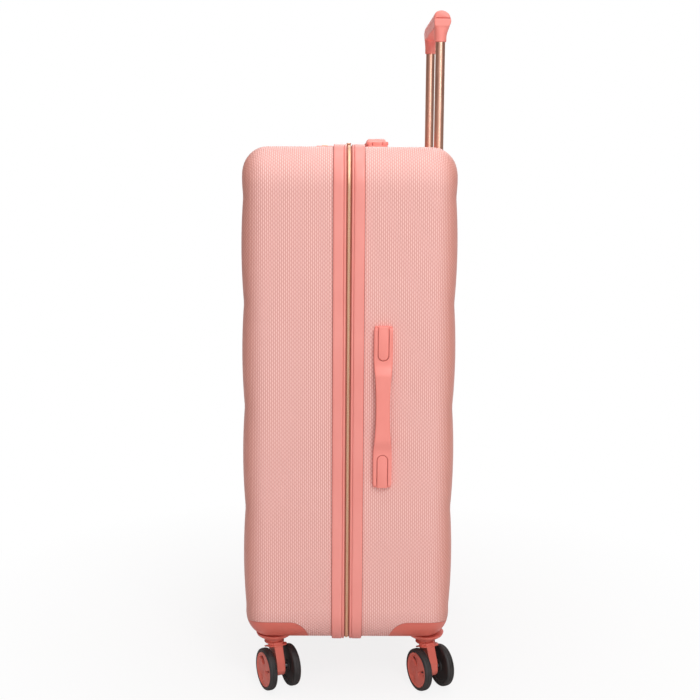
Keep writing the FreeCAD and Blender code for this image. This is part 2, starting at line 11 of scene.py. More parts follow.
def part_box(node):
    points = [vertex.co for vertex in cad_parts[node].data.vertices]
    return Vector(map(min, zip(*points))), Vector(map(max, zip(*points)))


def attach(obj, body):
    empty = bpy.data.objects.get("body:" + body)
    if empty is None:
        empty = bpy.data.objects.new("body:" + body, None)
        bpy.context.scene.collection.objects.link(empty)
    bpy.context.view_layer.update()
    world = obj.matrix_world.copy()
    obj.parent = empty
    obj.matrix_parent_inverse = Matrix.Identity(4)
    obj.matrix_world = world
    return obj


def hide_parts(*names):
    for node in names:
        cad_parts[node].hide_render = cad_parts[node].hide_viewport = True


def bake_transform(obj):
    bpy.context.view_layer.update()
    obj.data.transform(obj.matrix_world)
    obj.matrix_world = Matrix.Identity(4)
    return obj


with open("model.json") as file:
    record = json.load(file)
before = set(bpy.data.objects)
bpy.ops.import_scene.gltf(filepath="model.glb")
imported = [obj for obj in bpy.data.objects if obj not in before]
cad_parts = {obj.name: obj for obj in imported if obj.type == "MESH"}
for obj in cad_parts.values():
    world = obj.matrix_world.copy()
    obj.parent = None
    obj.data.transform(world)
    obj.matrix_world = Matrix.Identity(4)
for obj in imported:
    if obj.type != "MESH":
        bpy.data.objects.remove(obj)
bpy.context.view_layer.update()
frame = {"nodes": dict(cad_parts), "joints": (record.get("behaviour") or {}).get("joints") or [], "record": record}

# A large hard-shell suitcase.  +X is the side with the carry handle, +Y the rear half with the
# trolley, +Z up, in metres.  Lengths are written in millimetres times MM.
MM = 0.001

# ---------------------------------------------------------------- places read from the frame
rear_low, rear_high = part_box("rear_shell")
half_width = rear_high.x
bottom, top = rear_low.z, rear_high.z
middle, half_height = (bottom + top) / 2, (top - bottom) / 2
seam = rear_low.y
depths = {1: rear_high.y, -1: -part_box("front_shell")[0].y}
band_low, band_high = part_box("rear_band")
band_stand, band_end = band_high.z - top, band_high.y
tape_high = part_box("rear_zip_tape")[1]
gusset_low, gusset_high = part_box("hinge_gusset")
joint_at = {j["name"]: Vector(j["pos_m"]) for j in frame["joints"] if "pos_m" in j}
joint_axis = {j["name"]: Vector(j["axis"]) for j in frame["joints"]}

# ---------------------------------------------------------------- sizes of the looks
corner_radius = 52 * MM
edge_radius = 36 * MM
wall = 2.5 * MM
rib_pitch = 143 * MM
rib_drop = 8 * MM
crease_depth = 3 * MM
crease_round = 2.5 * MM
housing_wall = 3.5 * MM
housing_width = 100 * MM
housing_depths = {-1: 91 * MM, 1: 87 * MM}
housing_height = 36 * MM
housing_fall = 23 * MM
housing_round = 26 * MM
housing_seam = 0.35 * MM
lining_gap = 0.4 * MM
teeth_pitch = 1.35 * MM
CORNERS = ((1, -1), (1, 1), (-1, 1), (-1, -1))
case_body = {-1: "front_case", 1: "rear_case"}
side_name = {-1: "front", 1: "rear"}


# ---------------------------------------------------------------- mesh helpers
def mesh_from(name, verts, faces):
    """Mesh object with outward normals, not yet riding on anything."""
    mesh = bpy.data.meshes.new(name)
    mesh.from_pydata([tuple(map(float, v)) for v in verts], [], faces)
    bm = bmesh.new()
    bm.from_mesh(mesh)
    bmesh.ops.recalc_face_normals(bm, faces=bm.faces)
    bm.to_mesh(mesh)
    bm.free()
    obj = bpy.data.objects.new(name, mesh)
    bpy.context.scene.collection.objects.link(obj)
    return obj


def finish_piece(obj, body, materials, replaces=(), sharp=35.0):
    """Shading, materials and body of a piece, and hiding of the frame parts it replaces."""
    obj.data.shade_smooth()
    obj.data.set_sharp_from_angle(angle=math.radians(sharp))
    if not obj.data.materials:
        for material in materials if isinstance(materials, (list, tuple)) else [materials]:
            obj.data.materials.append(material)
    if body:
        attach(obj, body)
    if replaces:
        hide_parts(*replaces)
    return obj


def apply_modifiers(obj):
    """Bakes the object's modifiers into its mesh."""
    bpy.context.view_layer.update()
    graph = bpy.context.evaluated_depsgraph_get()
    mesh = bpy.data.meshes.new_from_object(obj.evaluated_get(graph))
    obj.modifiers.clear()
    obj.data = mesh


def boolean(obj, other, operation, keep=False):
    """Exact boolean of two closed meshes, applied."""
    modifier = obj.modifiers.new("boolean", "BOOLEAN")
    modifier.operation, modifier.object, modifier.solver = operation, other, "EXACT"
    apply_modifiers(obj)
    if not keep:
        bpy.data.objects.remove(other)
    return obj


def joined(name, parts):
    """One object from several, whose meshes may overlap."""
    bm = bmesh.new()
    for part in parts:
        bm.from_mesh(part.data)
        bpy.data.objects.remove(part)
    mesh = bpy.data.meshes.new(name)
    bm.to_mesh(mesh)
    bm.free()
    obj = bpy.data.objects.new(name, mesh)
    bpy.context.scene.collection.objects.link(obj)
    return obj


def moulded(obj, voxel, smoothing):
    """Fuses overlapping closed meshes into one with small fillets, as a moulding has."""
    remesh = obj.modifiers.new("remesh", "REMESH")
    remesh.mode, remesh.voxel_size = "VOXEL", voxel
    smooth = obj.modifiers.new("smooth", "SMOOTH")
    smooth.factor, smooth.iterations = 0.5, smoothing
    apply_modifiers(obj)
    return obj


def bevelled(obj, width, segments=3, angle=40.0):
    modifier = obj.modifiers.new("bevel", "BEVEL")
    modifier.width, modifier.segments, modifier.angle_limit = width, segments, math.radians(angle)
    apply_modifiers(obj)
    return obj


def ring_faces(count, rings, closed=True):
    """Quads between rings of count vertices each, in order."""
    faces = []
    for r in range(rings - 1):
        for i in range(count if closed else count - 1):
            j = (i + 1) % count
            faces.append((r * count + i, r * count + j, (r + 1) * count + j, (r + 1) * count + i))
    return faces


def lathe(name, profile, segments=64, matrix=None):
    """Turned piece: profile points (radius, height) from axis to axis, round +Z."""
    rings = [p for p in profile if p[0] > 1e-7]
    verts, faces = [], ring_faces(segments, len(rings))
    for radius, height in rings:
        for i in range(segments):
            a = math.tau * i / segments
            verts.append((radius * math.cos(a), radius * math.sin(a), height))
    if profile[0][0] <= 1e-7:
        verts.append((0, 0, profile[0][1]))
        faces += [(len(verts) - 1, (i + 1) % segments, i) for i in range(segments)]
    if profile[-1][0] <= 1e-7:
        verts.append((0, 0, profile[-1][1]))
        base = (len(rings) - 1) * segments
        faces += [(len(verts) - 1, base + i, base + (i + 1) % segments) for i in range(segments)]
    if profile[0][0] > 1e-7 and profile[-1][0] > 1e-7:
        base = (len(rings) - 1) * segments
        for i in range(segments):
            j = (i + 1) % segments
            faces.append((base + i, base + j, j, i))
    obj = mesh_from(name, verts, faces)
    if matrix:
        obj.data.transform(matrix)
    return obj


def loft(name, sections):
    """Closed skin through sections with the same number of points, with flat ends."""
    count = len(sections[0])
    verts = [v for section in sections for v in section]
    faces = ring_faces(count, len(sections))
    faces.append(tuple(range(count)))
    last = (len(sections) - 1) * count
    faces.append(tuple(range(last, last + count)))
    return mesh_from(name, verts, faces)


def smooth_loop(points, count):
    """Closed Catmull-Rom curve through the points, evenly sampled in parameter."""
    p = np.array(points, float)
    n, out = len(p), []
    for k in range(count):
        t = k * n / count
        i, u = int(t), t - int(t)
        a, b, c, d = (p[(i + m) % n] for m in (-1, 0, 1, 2))
        out.append(0.5 * (2 * b + (c - a) * u + (2 * a - 5 * b + 4 * c - d) * u**2
                          + (3 * b - a - 3 * c + d) * u**3))
    return out


def smoothstep(low, high, value):
    t = np.clip((value - low) / (high - low), 0, 1)
    return t * t * (3 - 2 * t)


# ---------------------------------------------------------------- outline of the case
def outline(segments=14, steps=1):
    """Stations round the case, anticlockwise seen from -Y: (x, z, normal x, normal z)."""
    stations = []
    for k, (sx, sz) in enumerate(CORNERS):
        cx = sx * (half_width - corner_radius)
        cz = middle + sz * (half_height - corner_radius)
        for i in range(segments + 1):
            a = (k - 1 + i / segments) * math.pi / 2
            nx, nz = math.cos(a), math.sin(a)
            stations.append((cx + corner_radius * nx, cz + corner_radius * nz, nx, nz))
    if steps == 1:
        return stations
    filled, n = [], segments + 1
    for i, s in enumerate(stations):
        filled.append(s)
        if i % n == segments:
            e = stations[(i + 1) % len(stations)]
            filled += [tuple(s[m] + (e[m] - s[m]) * q / steps for m in range(4))
                       for q in range(1, steps)]
    return filled


def outline_at(distance, offset=0.0):
    """Point and normal at a distance along the outline, from the middle of the -X side, clockwise
    seen from -Y: up the far side, over the top and down the near side."""
    lx, lz = half_width - corner_radius, half_height - corner_radius
    arc = corner_radius * math.pi / 2
    runs = [(lz, (-1, 0), (-1, 0)), (arc, (-1, 0), (0, 1)), (2 * lx, (0, 1), (0, 1)),
            (arc, (0, 1), (1, 0)), (2 * lz, (1, 0), (1, 0)), (arc, (1, 0), (0, -1)),
            (2 * lx, (0, -1), (0, -1)), (arc, (0, -1), (-1, 0)), (lz, (-1, 0), (-1, 0))]
    start = np.array([-half_width, middle])
    at = start.copy()
    for length, n0, n1 in runs:
        n0, n1 = np.array(n0, float), np.array(n1, float)
        along = np.array([n0[1], -n0[0]])
        if n0 @ n1 > 0.5:
            step = min(distance, length)
            if distance <= length:
                return at + along * step + n0 * offset, n0, along
            at = at + along * length
        else:
            centre = at - n0 * corner_radius
            a = min(distance, length) / corner_radius
            n = n0 * math.cos(a) + along * math.sin(a)
            if distance <= length:
                return (centre + n * (corner_radius + offset), n,
                        along * math.cos(a) - n0 * math.sin(a))
            at = centre + n1 * corner_radius
        distance -= length
    return start, np.array([-1.0, 0.0]), np.array([0.0, 1.0])


def outline_length():
    lx, lz = half_width - corner_radius, half_height - corner_radius
    return 4 * (lx + lz) + math.tau * corner_radius


def sweep(name, section, stations):
    """Hoop round the case with a closed section of (offset, y) points."""
    verts = []
    for x, z, nx, nz in stations:
        verts += [(x + nx * off, y, z + nz * off) for off, y in section]
    count, n = len(section), len(stations)
    faces = ring_faces(count, n)
    for i in range(count):
        j = (i + 1) % count
        faces.append(((n - 1) * count + i, (n - 1) * count + j, j, i))
    return mesh_from(name, verts, faces)


def open_sweep(name, section, start, end, step):
    """As sweep, but only from one distance along the outline to another, with closed ends."""
    n = max(2, int((end - start) / step))
    sections = []
    for k in range(n + 1):
        at, normal, _ = outline_at(start + (end - start) * k / n)
        sections.append([(at[0] + normal[0] * off, y, at[1] + normal[1] * off)
                         for off, y in section])
    return loft(name, sections)


# ---------------------------------------------------------------- shells
def rib_depth(z):
    """How far the ribbed face lies under its highest line, at height z."""
    t = ((z - middle + rib_drop) / rib_pitch) % 1.0
    to_crease = np.minimum(t, 1 - t) * rib_pitch
    shape = (2 * t - 1) ** 2
    rounding = np.clip(1 - to_crease / crease_round, 0, 1) ** 2
    return crease_depth * shape - 0.3 * MM * rounding


def face_lines():
    """Grid lines across and up the ribbed face, in core coordinates."""
    lx, lz = half_width - edge_radius, half_height - edge_radius
    small = corner_radius - edge_radius
    across = list(np.linspace(-(lx - small), lx - small, 21))
    across += [s * (lx - small + small * k / 4) for s in (-1, 1) for k in range(1, 5)]
    creases = [k * rib_pitch - rib_drop for k in range(-3, 4)]
    up = [c + d * MM for c in creases for d in (-5, -2.5, -1.2, 0, 1.2, 2.5, 5)]
    up = [z for z in up if abs(z) < lz - small]
    grid = [-(lz - small) + (2 * (lz - small)) * k / 84 for k in range(85)]
    up += [z for z in grid if all(abs(z - u) > 2 * MM for u in up)]
    up += [s * (lz - small + small * k / 4) for s in (-1, 1) for k in range(1, 5)]
    up += [s * (lz - small) for s in (-1, 1)]
    return sorted(set(np.round(across, 7))), sorted(set(np.round(up, 7)))


def tray_surface(sy, offset, deep=None, slack=None):
    """Open tray at an offset from the outside of a half: vertices, quads and the seam's ring.
    deep sets another depth with a plain face, and slack pulls cloth away from the shell."""
    lx, lz = half_width - edge_radius, half_height - edge_radius
    small = corner_radius - edge_radius
    radius, depth = edge_radius + offset, (deep or depths[sy]) + offset
    ribs = (lambda z: 0.0) if deep else rib_depth
    loose = slack or (lambda x, y, z: 0.0)
    xs, zs = face_lines()

    def core(x, z):
        ax, az = abs(x) - (lx - small), abs(z) - (lz - small)
        sx, sz = math.copysign(1, x), math.copysign(1, z)
        if ax > 1e-9 and az > 1e-9:
            u, v = ax / small, az / small
            m = max(u, v)
            a = math.pi / 4 * (v / u) if u >= v else math.pi / 2 - math.pi / 4 * (u / v)
            return (sx * (lx - small + small * m * math.cos(a)),
                    sz * (lz - small + small * m * math.sin(a)), sx * math.cos(a), sz * math.sin(a))
        if ax >= small - 1e-6:
            return x, z, sx, 0.0
        return x, z, 0.0, sz

    verts = []
    for x in xs:
        for z in zs:
            cx, cz, _, _ = core(x, z)
            drop = ribs(middle + cz) + loose(cx, sy * depth, cz)
            verts.append((cx, sy * (depth - drop), middle + cz))
    nx, nz = len(xs), len(zs)
    faces = [(i * nz + j, (i + 1) * nz + j, (i + 1) * nz + j + 1, i * nz + j + 1)
             for i in range(nx - 1) for j in range(nz - 1)]
    border = [(nx - 1, j) for j in range(nz)] + [(i, nz - 1) for i in range(nx - 2, -1, -1)]
    border += [(0, j) for j in range(nz - 2, -1, -1)] + [(i, 0) for i in range(1, nx - 1)]
    previous = [i * nz + j for i, j in border]
    stations = [core(xs[i], zs[j]) for i, j in border]
    count = len(border)

    def add_ring(points):
        nonlocal previous
        base = len(verts)
        verts.extend(points)
        ring = list(range(base, base + count))
        for i in range(count):
            j = (i + 1) % count
            faces.append((previous[i], previous[j], ring[j], ring[i]))
        previous = ring

    steps = 12
    for k in range(1, steps + 1):
        a = math.pi / 2 * k / steps
        fade = 1 - float(smoothstep(0, math.radians(75), a))
        ring = []
        for cx, cz, n_x, n_z in stations:
            y = depth - radius + radius * math.cos(a)
            d = ribs(middle + cz) * fade
            d += loose(cx + n_x * radius * math.sin(a), sy * y, cz + n_z * radius * math.sin(a))
            out = (radius - d) * math.sin(a)
            ring.append((cx + n_x * out, sy * (depth - radius + (radius - d) * math.cos(a)),
                         middle + cz + n_z * out))
        add_ring(ring)
    for y in np.linspace(depth - radius, seam, 9)[1:]:
        ring = []
        for cx, cz, n_x, n_z in stations:
            out = radius - loose(cx + n_x * radius, sy * y, cz + n_z * radius)
            ring.append((cx + n_x * out, sy * y, middle + cz + n_z * out))
        add_ring(ring)
    return verts, faces, previous


def tray(name, sy, outer, thickness, deep=None, slack=None):
    """Closed thin-walled tray, whose outside lies at an offset from the case's outside."""
    verts, faces, rim = tray_surface(sy, outer, deep, slack)
    verts2, faces2, rim2 = tray_surface(sy, outer - thickness, deep, slack)
    base = len(verts)
    faces += [tuple(base + v for v in reversed(f)) for f in faces2]
    for i in range(len(rim)):
        j = (i + 1) % len(rim)
        faces.append((rim[i], rim[j], base + rim2[j], base + rim2[i]))
    return mesh_from(name, verts + verts2, faces)


def corner_cutter(sx, sy, grow):
    """Space of a caster housing, grown by a little: three planes with rolled edges."""
    slope = housing_fall / housing_width
    start = depths[sy] - housing_depths[sy]
    centre = Vector((half_width - housing_width + housing_round, start + housing_round, 0))
    top_at = bottom + housing_height - housing_fall + slope * housing_round
    centre.z = top_at - housing_round * math.hypot(1, slope)
    reach = [Vector((0, 0, -0.2)), Vector((0.2, 0, 0.2 * slope)), Vector((0, 0.2, 0))]
    bm = bmesh.new()
    radius = housing_round + grow
    for code in range(8):
        at = centre + sum((reach[m] for m in range(3) if code >> m & 1), Vector())
        bmesh.ops.create_uvsphere(bm, u_segments=48, v_segments=24, radius=radius,
                                  matrix=Matrix.Translation(at))
    points = {(round(v.co.x, 6), round(v.co.y, 6), round(v.co.z, 6)) for v in bm.verts}
    bm.free()
    hull = bmesh.new()
    for p in sorted(points):
        hull.verts.new((sx * p[0], sy * p[1], p[2]))
    made = bmesh.ops.convex_hull(hull, input=hull.verts)
    spare = {g for g in made["geom_interior"] + made["geom_unused"] if isinstance(g, bmesh.types.BMVert)}
    bmesh.ops.delete(hull, geom=list(spare), context="VERTS")
    bmesh.ops.recalc_face_normals(hull, faces=hull.faces)
    mesh = bpy.data.meshes.new("cutter")
    hull.to_mesh(mesh)
    hull.free()
    obj = bpy.data.objects.new("cutter", mesh)
    bpy.context.scene.collection.objects.link(obj)
    return obj


def add_shell_coordinates(obj):
    """Surface coordinates for the embossed grain.  wrap runs round the walls, flat lies on the face,
    face_share says how much of the surface belongs to the face, and the last share how far it
    has rounded the edge, which weights the shade painted on the rounded edges."""
    mesh = obj.data
    co = np.zeros(len(mesh.vertices) * 3)
    mesh.vertices.foreach_get("co", co)
    co = co.reshape(-1, 3)
    lx, lz = half_width - corner_radius, half_height - corner_radius
    ax, az = np.abs(co[:, 0]), np.abs(co[:, 2] - middle)
    dx, dz = np.maximum(ax - lx, 0), np.maximum(az - lz, 0)
    turn = np.arctan2(dz, dx)
    around = np.minimum(az, lz) + corner_radius * turn + lx - np.minimum(ax, lx)
    inset = np.where((dx > 0) & (dz > 0), corner_radius - np.hypot(dx, dz),
                     np.minimum(half_width - ax, half_height - az))
    sides = np.where(co[:, 1] > 0, depths[1], depths[-1])
    past = np.abs(co[:, 1]) - (sides - edge_radius)
    roll = np.where(past > 0, np.arctan2(np.maximum(past, 0), np.maximum(edge_radius - inset, 0)), 0)
    section = np.where(past > 0, sides - edge_radius + edge_radius * roll, np.abs(co[:, 1]))
    flat_x = sides - edge_radius + edge_radius * math.pi / 2 + half_width - edge_radius - ax
    loops = np.zeros(len(mesh.loops), int)
    mesh.loops.foreach_get("vertex_index", loops)
    for name, u, v in (("wrap", section, around), ("flat", flat_x, az)):
        layer = mesh.uv_layers.new(name=name)
        uv = np.column_stack([u, v])[loops].astype(np.float32)
        layer.data.foreach_set("uv", uv.ravel())
    # The second share weights the shade painted where the surface rounds the edge.
    for name, start, end in (("face_share", 0.9, 1.5), ("edge_shade_share", 0.1, 1.0)):
        share = mesh.attributes.new(name, "FLOAT", "POINT")
        share.data.foreach_set("value", smoothstep(start, end, roll).astype(np.float32))


# ---------------------------------------------------------------- materials
def new_material(name):
    material = bpy.data.materials.new(name)
    material.use_nodes = True
    return material, material.node_tree, material.node_tree.nodes["Principled BSDF"]


def node(tree, kind, inputs=None, **settings):
    made = tree.nodes.new(kind)
    for key, value in settings.items():
        setattr(made, key, value)
    for key, value in (inputs or {}).items():
        if isinstance(value, bpy.types.NodeSocket):
            tree.links.new(value, made.inputs[key])
        else:
            made.inputs[key].default_value = value
    return made


def maths(tree, operation, a, b=None, c=None):
    inputs = {k: v for k, v in enumerate((a, b, c)) if v is not None}
    return node(tree, "ShaderNodeMath", inputs, operation=operation).outputs[0]


def mix_colour(tree, share, a, b, blend="MIX"):
    made = node(tree, "ShaderNodeMix", {0: share, 6: a, 7: b}, data_type="RGBA", blend_type=blend)
    return made.outputs[2]


def noise(tree, coordinates, scale, detail=3.0, roughness=0.5):
    return node(tree, "ShaderNodeTexNoise", {"Vector": coordinates, "Scale": scale,
                                             "Detail": detail, "Roughness": roughness}).outputs[0]


def place_of(tree, scale=None):
    """Coordinates that stay with the piece, in metres, stretched by scale if given."""
    at = node(tree, "ShaderNodeTexCoord").outputs["Object"]
    if scale is None:
        return at
    return node(tree, "ShaderNodeVectorMath", {0: at, 1: scale}, operation="MULTIPLY").outputs[0]


def ramp(tree, value, *stops):
    made = node(tree, "ShaderNodeMapRange", {0: value, 1: stops[0], 2: stops[1], 3: stops[2],
                                             4: stops[3]})
    return made.outputs[0]


def bump(tree, height, distance, strength=1.0, normal=None):
    inputs = {"Height": height, "Distance": distance, "Strength": strength}
    if normal is not None:
        inputs["Normal"] = normal
    return node(tree, "ShaderNodeBump", inputs).outputs[0]


def linear(r, g, b):
    """Colour given as 0 to 255 display values."""
    values = []
    for v in (r, g, b):
        v = v / 255
        values.append(v / 12.92 if v <= 0.04045 else ((v + 0.055) / 1.055) ** 2.4)
    return (*values, 1.0)


def shell_material():
    """Polycarbonate with a lattice of small raised grains, with a painted highlight that makes their crests paler.
    """
    material, tree, shader = new_material("shell")
    across, along = 5.5 * MM, 5.5 * MM

    def grains(layer):
        uv = node(tree, "ShaderNodeUVMap", uv_map=layer).outputs[0]
        parts = node(tree, "ShaderNodeSeparateXYZ", {0: uv})
        u = maths(tree, "COSINE", maths(tree, "MULTIPLY", parts.outputs[0], math.tau / across))
        v = maths(tree, "COSINE", maths(tree, "MULTIPLY", parts.outputs[1], math.tau / along))
        lattice = maths(tree, "MULTIPLY", u, v)
        lines = maths(tree, "COSINE", maths(tree, "MULTIPLY", parts.outputs[0], 2 * math.tau / across))
        return maths(tree, "ADD", maths(tree, "MULTIPLY", lattice, 0.46),
                     maths(tree, "MULTIPLY", lines, 0.54))

    share = node(tree, "ShaderNodeAttribute", attribute_name="face_share").outputs["Fac"]
    height = node(tree, "ShaderNodeMix", {0: share, 2: grains("wrap"), 3: grains("flat")},
                  data_type="FLOAT").outputs[0]
    # Painted highlight: the colour runs from dark in the hollows to pale on the raised crests of the grain.
    crest_highlight = ramp(tree, height, -0.65, 0.6, 0.0, 1.0)
    mottle = noise(tree, place_of(tree), 9.0, 4.0)
    fine = noise(tree, place_of(tree), 900.0, 2.0)
    dark = mix_colour(tree, mottle, linear(222, 150, 141), linear(227, 157, 148))
    pale = mix_colour(tree, mottle, linear(251, 206, 200), linear(253, 212, 207))
    # Painted shade: the colour is multiplied darker and redder where the surface rounds the edge, less on the
    # face.
    edge_shade_share = node(tree, "ShaderNodeAttribute", attribute_name="edge_shade_share").outputs["Fac"]
    edge_shade_share = maths(tree, "MULTIPLY", edge_shade_share, ramp(tree, share, 0.0, 1.0, 1.0, 0.35))
    deep = mix_colour(tree, edge_shade_share, (1, 1, 1, 1), (0.86, 0.70, 0.63, 1))
    colour = mix_colour(tree, 1.0, mix_colour(tree, crest_highlight, dark, pale), deep, "MULTIPLY")
    tree.links.new(colour, shader.inputs["Base Color"])
    tree.links.new(ramp(tree, fine, 0.3, 0.7, 0.42, 0.56), shader.inputs["Roughness"])
    normal = bump(tree, height, 0.24 * MM, 1.0)
    tree.links.new(bump(tree, fine, 0.02 * MM, 0.4, normal), shader.inputs["Normal"])
    shader.inputs["Specular IOR Level"].default_value = 0.4
    return material


def plastic(name, pale, dark, roughness=(0.36, 0.46), grain=0.015 * MM):
    """Moulded plastic with a faint satin grain and slow colour drift."""
    material, tree, shader = new_material(name)
    drift = noise(tree, place_of(tree), 14.0, 4.0)
    fine = noise(tree, place_of(tree), 2200.0, 2.0)
    scuff = noise(tree, place_of(tree, (60.0, 60.0, 900.0)), 1.0, 5.0)
    tree.links.new(mix_colour(tree, ramp(tree, drift, 0.3, 0.7, 0.0, 1.0), dark, pale),
                   shader.inputs["Base Color"])
    tree.links.new(ramp(tree, scuff, 0.3, 0.7, roughness[0], roughness[1]),
                   shader.inputs["Roughness"])
    tree.links.new(bump(tree, fine, grain, 0.5), shader.inputs["Normal"])
    return material


def metal(name, pale, dark, roughness, stretch, bump_depth=0.01 * MM):
    """Metal with fine lines along the stretched direction."""
    material, tree, shader = new_material(name)
    lines = noise(tree, place_of(tree, stretch), 1.0, 6.0, 0.6)
    slow = noise(tree, place_of(tree), 30.0, 3.0)
    colour = mix_colour(tree, ramp(tree, lines, 0.3, 0.7, 0.0, 1.0), dark, pale)
    tree.links.new(colour, shader.inputs["Base Color"])
    shader.inputs["Metallic"].default_value = 1.0
    tree.links.new(ramp(tree, maths(tree, "ADD", lines, slow), 0.6, 1.4, *roughness),
                   shader.inputs["Roughness"])
    tree.links.new(bump(tree, lines, bump_depth, 0.5), shader.inputs["Normal"])
    return material


def woven(name, pale, dark, pitch, roughness=0.8, sheen=0.3):
    """Plain woven cloth, its threads along the case's axes."""
    material, tree, shader = new_material(name)
    at = node(tree, "ShaderNodeSeparateXYZ", {0: place_of(tree)})
    waves = [maths(tree, "SINE", maths(tree, "MULTIPLY", at.outputs[m], math.tau / pitch))
             for m in range(3)]
    weave = maths(tree, "ADD", maths(tree, "MULTIPLY", waves[0], waves[2]),
                  maths(tree, "MULTIPLY", waves[1], maths(tree, "ADD", waves[0], waves[2])))
    drift = noise(tree, place_of(tree), 25.0, 4.0)
    thread = ramp(tree, maths(tree, "ADD", weave, drift), -1.0, 2.0, 0.0, 1.0)
    tree.links.new(mix_colour(tree, thread, dark, pale), shader.inputs["Base Color"])
    shader.inputs["Roughness"].default_value = roughness
    shader.inputs["Sheen Weight"].default_value = sheen
    tree.links.new(bump(tree, weave, 0.12 * MM, 0.7), shader.inputs["Normal"])
    return material


def rubber():
    """Tyre rubber, dusty black, with fine mould grain."""
    material, tree, shader = new_material("tyre")
    fine = noise(tree, place_of(tree), 1500.0, 3.0)
    dust = noise(tree, place_of(tree), 60.0, 5.0)
    colour = mix_colour(tree, ramp(tree, dust, 0.35, 0.7, 0.0, 1.0), linear(34, 34, 35),
                        linear(58, 57, 57))
    tree.links.new(colour, shader.inputs["Base Color"])
    tree.links.new(ramp(tree, dust, 0.3, 0.7, 0.5, 0.68), shader.inputs["Roughness"])
    tree.links.new(bump(tree, fine, 0.03 * MM, 0.6), shader.inputs["Normal"])
    return material


looks = {
    "shell": shell_material(),
    "band": plastic("band", linear(245, 158, 149), linear(240, 150, 141)),
    # Dark pink-brown for the strip that paints the shadow at the foot of the rim bands.
    "foot_shadow": plastic("foot_shadow", linear(176, 108, 98), linear(160, 92, 82), (0.6, 0.75)),
    "housing": plastic("housing", linear(226, 118, 103), linear(220, 110, 96)),
    "handle": plastic("handle", linear(249, 152, 142), linear(245, 145, 134), (0.38, 0.5)),
    "tube": metal("tube", linear(250, 208, 186), linear(240, 188, 164), (0.30, 0.42),
                  (4000.0, 4000.0, 3.0)),
    "gold": metal("gold", linear(252, 218, 186), linear(240, 196, 160), (0.40, 0.55),
                  (900.0, 900.0, 900.0)),
    "steel": metal("steel", linear(200, 200, 202), linear(165, 165, 168), (0.25, 0.45),
                   (700.0, 700.0, 700.0)),
    "inner_tube_holder": metal("inner_tube_holder", linear(188, 188, 190), linear(160, 160, 163),
                               (0.3, 0.5), (3000.0, 3000.0, 3.0)),
    "inner_plastic": plastic("inner_plastic", linear(44, 44, 46), linear(32, 32, 34), (0.5, 0.7)),
    "zip": woven("zip", linear(192, 104, 80), linear(150, 74, 56), 0.9 * MM),
    "lining": woven("lining", linear(216, 176, 166), linear(192, 150, 140), 1.1 * MM, 0.75, 0.5),
    "strap_web": woven("strap_web", linear(190, 110, 98), linear(158, 84, 74), 1.6 * MM),
    "tyre": rubber(),
}


# ---------------------------------------------------------------- case
def box_mesh(name, low, high):
    x, y, z = zip(low, high)
    verts = [(x[i], y[j], z[k]) for i in (0, 1) for j in (0, 1) for k in (0, 1)]
    faces = [(0, 1, 3, 2), (4, 6, 7, 5), (0, 4, 5, 1), (2, 3, 7, 6), (0, 2, 6, 4), (1, 5, 7, 3)]
    return mesh_from(name, verts, faces)


def shell(sy):
    """One half's shell, with its openings for the housings, the lock and the trolley cup."""
    piece = tray(side_name[sy] + "_shell_skin", sy, 0, wall)
    for sx in (-1, 1):
        boolean(piece, corner_cutter(sx, sy, housing_seam), "DIFFERENCE")
    if sy < 0:
        low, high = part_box("lock_body")
        opening = box_mesh("cutter", low, high + Vector((0, 0, 0.01)))
    else:
        low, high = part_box("trolley_cup")
        inset = Vector((3.8, 3.0, 2.0)) * MM
        opening = box_mesh("cutter", low + inset, high - inset + Vector((0, 0, 0.01)))
    boolean(piece, opening, "DIFFERENCE")
    add_shell_coordinates(piece)
    finish_piece(piece, case_body[sy], looks["shell"], [side_name[sy] + "_shell"])


def housings(sy):
    """The two corner housings of a half, flush with the shell, each with its boss."""
    whole = tray("housing_form", sy, 0, housing_wall)
    for sx, letter in ((-1, "l"), (1, "r")):
        node_name = "caster_housing_" + side_name[sy][0] + letter
        corner = whole.copy()
        corner.data = whole.data.copy()
        bpy.context.scene.collection.objects.link(corner)
        boolean(corner, corner_cutter(sx, sy, 0), "INTERSECT")
        axis = joint_at["swivel_" + side_name[sy][0] + letter]
        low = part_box(node_name)[0].z
        profile = [(4.2, 9.4), (4.2, 0.2), (4.8, 0), (13.4, 0), (14.2, 0.4), (15.6, 1.5), (17.2, 1.9),
                   (17.6, 2.4), (19.4, 3.2), (22.0, 4.2), (24.0, 5.6), (25.2, 7.6), (25.8, 9.8),
                   (4.2, 9.8)]
        boss = lathe("boss", [(r * MM, h * MM) for r, h in profile], 72,
                     Matrix.Translation((axis.x, axis.y, low)))
        piece = joined("corner_" + side_name[sy][0] + letter, [corner, boss])
        finish_piece(piece, case_body[sy], looks["housing"], [node_name], 30)
    bpy.data.objects.remove(whole)


